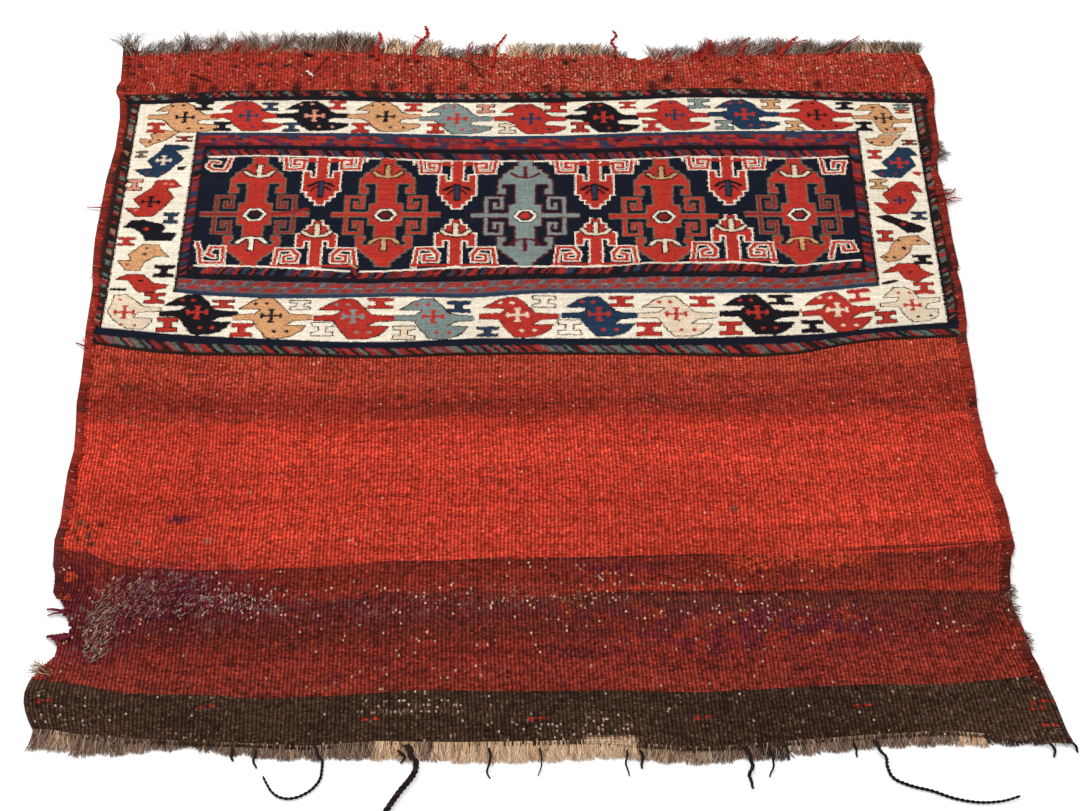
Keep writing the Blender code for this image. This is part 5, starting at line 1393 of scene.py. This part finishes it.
# Bare warps in the worn places: count, middle, reach, way, length, dyes
WORN_HAIRS = (
    (380, -280, -244, 10, 27, 1.0, 4.4, ((3, (216, 196, 170)), (3, (160, 132, 116)), (2, (110, 40, 58)))),
    (620, -268, -213, 18, 19, 1.05, 3.4, ((3, (214, 192, 166)), (5, (132, 42, 66)), (1, (76, 54, 54)))),
    (1150, -243, -205, 31, 15, 1.15, 2.9, ((7, (140, 42, 74)), (2, (196, 172, 156)), (2, (64, 40, 44)))),
    (860, -247, -219, 30, 14, 1.0, 2.8, ((3, (214, 194, 172)), (6, (134, 42, 70)), (2, (64, 32, 36)))),
    (460, -198, -219, 27, 9, 1.35, 2.0, ((3, (230, 208, 186)), (5, (138, 42, 68)), (1, (60, 28, 32)))),
    (150, 0, -214, 90, 8, 1.45, 1.6, ((4, (220, 196, 164)), (2, (90, 36, 44)))),
    (140, 165, -226, 55, 13, 1.4, 1.6, ((2, (216, 190, 158)), (3, (112, 40, 58)), (2, (206, 84, 50)))))


def surface_fuzz():
    """Short broken fibres that stand off the plain weave, and bare warps where it is worn through."""
    hairs = Hairs()
    rng = np.random.default_rng(307)
    for k, (count, v0, v1, dyes) in enumerate(FUZZ_ZONES):
        u = -300 + 596 * rng.random(count)
        v = v0 + (v1 - v0) * rng.random(count)
        x, y = lay(u, v)
        keep = (x > edge_x(TORN_EDGE, y) + 4) | (y > -200) | (y < -291)
        x, y = x[keep], y[keep]
        angle = math.pi / 2 + 1.2 * (rng.random(len(x)) * 2 - 1)
        lengths = 1.2 + 1.6 * rng.random(len(x))
        hairs.add(x, y, angle, lengths, pick_colours(rng, dyes, len(x)), 0.16, 3.1, 1.4, 0, 3.3, 800 + k,
                  lift=0.4, segments=2)
    # In the worn place the warps lie bare and lean, purple and grey ends of weft between them
    for k, (count, cx, cy, rx, ry, way, length, dyes) in enumerate(WORN_HAIRS):
        a, r = 2 * math.pi * rng.random(count), np.sqrt(rng.random(count))
        x, y = cx + rx * r * np.cos(a), cy + ry * r * np.sin(a)
        keep = x > edge_x(TORN_EDGE, y) + 3
        x, y = x[keep], y[keep]
        angle = way + 0.45 * (rng.random(len(x)) * 2 - 1)
        lengths = length * (0.5 + rng.random(len(x)))
        hairs.add(x, y, angle, lengths, pick_colours(rng, dyes, len(x)), 0.34, 3.3, 0.6, 0, 3.2, 840 + k,
                  lift=0.5, segments=2)
    return hairs.build("surface_fuzz")


RED_YARN, DARK_YARN, PALE_YARN = (170, 44, 36), (88, 42, 36), (206, 186, 160)
# Loose threads: route, dye, thickness, yarns
THREADS = (
    (((-97, 392), (-100, 404), (-96, 416), (-90, 427), (-92, 440)), RED_YARN, 2.0, 4),
    (((-129, 394), (-130, 408), (-127, 420), (-129, 432)), RED_YARN, 1.7, 4),
    (((-93, 420), (-101, 427)), RED_YARN, 1.2, 2),
    (((-55, 386), (-56, 398), (-57, 408), (-54, 418)), RED_YARN, 1.2, 3),
    (((-38, 384), (-36, 396), (-35, 408), (-30, 420), (-27, 428)), RED_YARN, 1.5, 4),
    (((59, 398), (60, 408), (57, 417), (61, 426), (58, 434)), (140, 44, 38), 1.5, 4),
    (((128, 392), (131, 402), (134, 412), (136, 420)), RED_YARN, 1.5, 4),
    (((156, 392), (160, 404), (160, 414), (168, 423)), RED_YARN, 1.5, 4),
    (((188, 396), (194, 406), (199, 416), (206, 425)), RED_YARN, 1.7, 4),
    (((190, 402), (197, 412), (206, 417), (214, 420)), RED_YARN, 1.3, 3),
    (((188, 402), (190, 411), (192, 418), (189, 424)), RED_YARN, 1.2, 3),
    (((191, 400), (196, 409), (205, 412), (210, 417)), (196, 70, 52), 0.9, 2),
    (((160, 404), (164, 411), (172, 414)), RED_YARN, 1.1, 3),
    (((226, 400), (238, 408), (247, 418), (256, 426)), RED_YARN, 1.3, 3),
    (((236, 402), (243, 412), (252, 420)), DARK_YARN, 1.0, 3),
    (((-57, 392), (-53, 386), (-49, 376), (-44, 368)), DARK_YARN, 1.3, 3),
    (((-60, 392), (-50, 384), (-43, 378)), (140, 128, 100), 0.8, 2),
    (((-275, 373), (-266, 368), (-257, 362)), DARK_YARN, 1.0, 3),
    (((-213, 365), (-214, 358), (-213, 350)), DARK_YARN, 0.8, 2),
    (((-168, 397), (-174, 384), (-179, 370)), DARK_YARN, 0.8, 2),
    (((-187, 403), (-184, 400), (-181, 397)), (44, 28, 30), 1.2, 3),
    (((-184, 377), (-181, 373), (-178, 369)), (230, 216, 196), 1.4, 4),
    (((-151, 373), (-149, 363), (-146, 352)), DARK_YARN, 0.9, 2),
    (((-304, 361), (-302, 355), (-301, 349)), PALE_YARN, 0.6, 2),
    (((-291, 392), (-289, 384), (-290, 376)), (150, 130, 112), 0.6, 2),
    (((-91, 366), (-86, 370), (-83, 362)), DARK_YARN, 0.8, 2),
    (((100, 372), (97, 366), (99, 359)), DARK_YARN, 0.9, 2),
    (((113, 370), (111, 362), (115, 356)), DARK_YARN, 0.7, 2),
    (((143, 362), (150, 366), (158, 360)), DARK_YARN, 0.7, 2),
    (((-299, -222), (-306, -224), (-314, -222.5)), (124, 38, 60), 1.9, 3),
    (((-300, -226), (-306, -226), (-313, -229)), (124, 38, 60), 1.3, 3),
    (((-296, -247.5), (-303, -248.5), (-311, -246.5)), (116, 36, 56), 3.0, 3),
    (((304, 209), (309, 211), (315, 210)), RED_YARN, 1.2, 3),
    (((303, 215), (308, 217), (311, 223)), RED_YARN, 1.0, 3),
    (((-320, 201), (-328, 199), (-337, 200)), (150, 40, 40), 1.2, 3),
    (((-318, 37), (-322, 40), (-327, 42)), (150, 44, 36), 1.2, 3))
# Short dark ends that hang from the band: route, thickness
STUBS = (
    (((-186, -342), (-187, -348), (-185, -353)), 1.5), (((-172, -343), (-173, -352), (-171, -359)), 1.3),
    (((-31, -342), (-30, -352), (-32, -360), (-30, -367)), 1.2), (((0, -342), (1, -354), (-1, -365)), 0.8),
    (((53, -344), (52, -356), (54, -365)), 1.0), (((61, -344), (62, -352), (61, -359)), 1.6),
    (((125, -342), (128, -354), (126, -366), (128, -375)), 1.9),
    (((139, -342), (141, -354), (138, -366)), 1.1), (((149, -340), (151, -352)), 1.0),
    (((191, -338), (192, -350)), 1.2), (((310, -338), (312, -345), (311, -350)), 1.5),
    (((322, -336), (325, -341), (326, -346)), 1.5), (((-86, -344), (-82, -350), (-84, -355)), 1.4))


def loose_threads():
    """The single threads of the edges, the ends that hang from the band, and the roots of the cords."""
    hairs = Hairs()
    for k, (path, colour, width, strands) in enumerate(THREADS):
        first, last = path[0], path[-1]
        high = (3.6 if first[1] > -200 else 2.4) + width * 0.5
        over_edge = first[1] > 380 and last[1] > 405 or abs(last[0]) > 305
        hairs.thread(path, colour, width, 900 + k, strands, high, 1.0 if over_edge else high)
    for k, (path, width) in enumerate(STUBS):
        hairs.thread(path, (46, 36, 32), width, 950 + k, 3, 3.2, max(0.8, width * 0.5))
    # Each cord's yarns come out of the weave a little to the left of the place where the cord begins
    for k, (_, _, start, _, diameter) in enumerate(cord_objects.values()):
        x, y, thick = start.x / MM - PLAN_X, start.y / MM - PLAN_Y, diameter / MM
        path = ((x - 6, y + 17), (x - 4, y + 10), (x - 1, y + 4), (x, y - 1))
        hairs.thread(path, (46, 36, 34), 0.75 * thick, 980 + k, 3, 3.4, 0.5 * thick)
    return hairs.build("loose_threads")


fringe_low, fringe_top = lower_fringe(), upper_fringe()
edge_fuzz, fuzz, threads = tufts(), surface_fuzz(), loose_threads()


def add_node(tree, kind, inputs=(), **settings):
    """A shader node with its settings, and with a link or a value for each input that is named."""
    node = tree.nodes.new("ShaderNode" + kind)
    for key, value in settings.items():
        setattr(node, key, value)
    for key, value in dict(inputs).items():
        if isinstance(value, bpy.types.NodeSocket):
            tree.links.new(value, node.inputs[key])
        else:
            node.inputs[key].default_value = value
    return node


def wool_material(name, kind, sway=1.1, valley_shade=(0.43, 0.22, 0.20)):
    """Dyed wool: colour from the knots, uneven fibre tone, relief from the weave, and painted shade where the
    weave lies low.
    """
    material = bpy.data.materials.new(name)
    material.use_nodes = True
    tree = material.node_tree
    shader = tree.nodes["Principled BSDF"]
    shader.inputs["Roughness"].default_value = 0.95
    shader.inputs["Specular IOR Level"].default_value = 0.06

    def math_node(operation, *values):
        return add_node(tree, "Math", enumerate(values), operation=operation).outputs["Value"]

    def span(value, low, high, to_low, to_high):
        inputs = {"Value": value, "From Min": low, "From Max": high, "To Min": to_low, "To Max": to_high}
        return add_node(tree, "MapRange", inputs).outputs["Result"]

    def stretched(source, scale):
        return add_node(tree, "Mapping", {"Scale": scale, "Vector": source}).outputs["Vector"]

    def noise(source, scale, detail=3):
        return add_node(tree, "TexNoise", {"Scale": scale, "Detail": detail, "Vector": source}).outputs["Fac"]

    def times(colour, factor):
        inputs = {0: 1.0, 6: colour, 7: factor}
        return add_node(tree, "Mix", inputs, data_type="RGBA", blend_type="MULTIPLY").outputs[2]

    colour = add_node(tree, "Attribute", attribute_name="dye").outputs["Color"]
    loom = add_node(tree, "Attribute", attribute_name="loom").outputs["Vector"]
    split = add_node(tree, "SeparateXYZ", {"Vector": loom})
    if kind == "ribbed":
        # Ribs over the warps: painted shade darkens the valley between two ribs and the rim of each bead, and
        # leaves each crest light
        waver = noise(stretched(loom, (1.0, 0.5, 1.0)), 0.7, 2)
        phase = math_node("MULTIPLY", split.outputs["X"], 2 * math.pi * 10 / RIB)
        phase = math_node("ADD", phase, span(waver, 0.2, 0.8, -sway, sway))
        crest = math_node("MULTIPLY_ADD", math_node("COSINE", phase), -0.5, 0.5)
        beads = add_node(tree, "TexVoronoi", {"Scale": 10 / RIB, "Randomness": 0.55,
                                              "Vector": stretched(loom, (1, 1.9, 1))})
        fibre = noise(stretched(loom, (1.0, 1.7, 1.0)), 13.0)
        rounded = span(beads.outputs["Distance"], 0.15, 0.85, 1.0, 0.0)
        height = math_node("MULTIPLY_ADD", rounded, 0.34, math_node("MULTIPLY", crest, 0.78))
        height = math_node("ADD", height, span(fibre, 0.3, 0.7, -0.32, 0.32))
        # Painted shade: the colour is darkened where the ribs and beads lie low
        shade = add_node(tree, "ValToRGB", {"Fac": height})
        low, high = shade.color_ramp.elements
        low.position, low.color = 0.12, (*valley_shade, 1)
        high.position, high.color = 0.95, (1, 1, 1, 1)
        colour = times(colour, shade.outputs["Color"])
        cell = add_node(tree, "SeparateColor", {"Color": beads.outputs["Color"]})
        colour = times(colour, span(cell.outputs["Red"], 0.0, 1.0, 0.56, 1.66))
        strength, distance = 0.7, 0.0007
    elif kind == "wrapped":
        # Slanted wraps in rows, one for each pair of warps
        waver = noise(loom, 3.0, 2)
        slant = math_node("MULTIPLY", split.outputs["Y"], 11.0)
        slant = math_node("MULTIPLY_ADD", split.outputs["X"], 26.0, slant)
        slant = math_node("ADD", slant, span(waver, 0.2, 0.8, -1.6, 1.6))
        across = math_node("MULTIPLY_ADD", math_node("SINE", slant), 0.5, 0.5)
        row = math_node("ADD", math_node("MULTIPLY", split.outputs["Y"], 2 * math.pi * 10 / 1.9),
                        span(waver, 0.2, 0.8, -0.8, 0.8))
        along = math_node("MULTIPLY_ADD", math_node("SINE", row), 0.5, 0.5)
        fibre = noise(stretched(loom, (1.0, 2.0, 1.0)), 11.0)
        height = math_node("MULTIPLY_ADD", across, 0.45, math_node("MULTIPLY", along, 0.55))
        height = math_node("ADD", height, span(fibre, 0.3, 0.7, -0.22, 0.22))
        # Painted shade: the colour darkens in the low grooves between wraps and rows, with a little painted
        # light on their tops
        colour = times(colour, span(height, 0.1, 0.95, 0.82, 1.08))
        patch = noise(stretched(loom, (0.5, 1.6, 1.0)), 2.2)
        colour = times(colour, span(patch, 0.3, 0.7, 0.86, 1.10))
        strength, distance = 0.55, 0.0004
    else:
        height = noise(add_node(tree, "TexCoord").outputs["Object"], 1400.0)
        colour = times(colour, span(height, 0.3, 0.7, 0.68, 1.25))
        strength, distance = 0.4, 0.0003
    tree.links.new(colour, shader.inputs["Base Color"])
    bump = add_node(tree, "Bump", {"Strength": strength, "Distance": distance, "Height": height})
    tree.links.new(bump.outputs["Normal"], shader.inputs["Normal"])
    return material


wrapped = wool_material("wrapped_weft_wool", "wrapped")
ribbed = wool_material("ribbed_plain_weave_wool", "ribbed")
# The mouth strip's ribs waver more and get a lighter painted shade in their valleys
strip_wool = wool_material("mouth_strip_wool", "ribbed", 2.4, (0.58, 0.38, 0.34))
yarn = wool_material("loose_yarn_wool", "yarn")
for piece in cloth + [lower_side]:
    finish = strip_wool if piece.name == "mouth_strip" else ribbed
    piece.data.materials.append(wrapped if piece.name.startswith("face_") else finish)
rolls = [left_roll, right_roll, right_end]
loose = [fringe_low, fringe_top, edge_fuzz, fuzz, threads]
for piece in rolls + loose + [c[0] for c in cord_objects.values()]:
    piece.data.materials.append(yarn)

# Floor, light and air
floor_mesh = bpy.data.meshes.new("studio_floor")
floor_mesh.from_pydata([(-6, -6, 0), (6, -6, 0), (6, 6, 0), (-6, 6, 0)], [], [(0, 1, 2, 3)])
floor = bpy.data.objects.new("studio_floor", floor_mesh)
floor.location.z = -LOWEST
SCENE.collection.objects.link(floor)
paper = bpy.data.materials.new("white_paper")
paper.use_nodes = True
tree = paper.node_tree
sheet_shader = tree.nodes["Principled BSDF"]
sheet_shader.inputs["Base Color"].default_value = (0.86, 0.86, 0.86, 1)
sheet_shader.inputs["Roughness"].default_value = 0.9
glow = add_node(tree, "Emission", {"Color": (1, 1, 1, 1), "Strength": 0.34})
lit = add_node(tree, "AddShader", {0: sheet_shader.outputs["BSDF"], 1: glow.outputs["Emission"]})
rays = add_node(tree, "LightPath")
choose = add_node(tree, "MixShader", {"Fac": rays.outputs["Is Camera Ray"], 1: sheet_shader.outputs["BSDF"],
                                      2: lit.outputs["Shader"]})
tree.links.new(choose.outputs["Shader"], tree.nodes["Material Output"].inputs["Surface"])
floor_mesh.materials.append(paper)


def soft_light(name, place, size, watts):
    """A wide square light that looks at the middle of the cloth."""
    data = bpy.data.lights.new(name, "AREA")
    data.shape, data.size = "SQUARE", size
    data.energy = watts
    obj = bpy.data.objects.new(name, data)
    obj.location = place
    obj.rotation_euler = (-Vector(place)).to_track_quat("-Z", "Y").to_euler()
    SCENE.collection.objects.link(obj)


soft_light("key_light", (-1.1, 0.9, 1.9), 1.4, 34)
soft_light("fill_light", (1.5, -0.8, 1.8), 1.8, 14)
world = SCENE.world or bpy.data.worlds.new("studio")
SCENE.world = world
world.use_nodes = True
sky = world.node_tree.nodes["Background"]
sky.inputs["Color"].default_value = (1, 1, 1, 1)
sky.inputs["Strength"].default_value = 0.55
SCENE.view_settings.view_transform = "Standard"

# Riding and replacing
for piece in cloth + [lower_side] + rolls + loose:
    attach(piece, "root")
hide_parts("woven_cloth")
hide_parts("left_edge_binding")
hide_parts("right_edge_binding")
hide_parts("right_edge_binding_end")
for cord_name, (piece, route, start, length, diameter) in cord_objects.items():
    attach(piece, "root")
    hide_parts(cord_name)
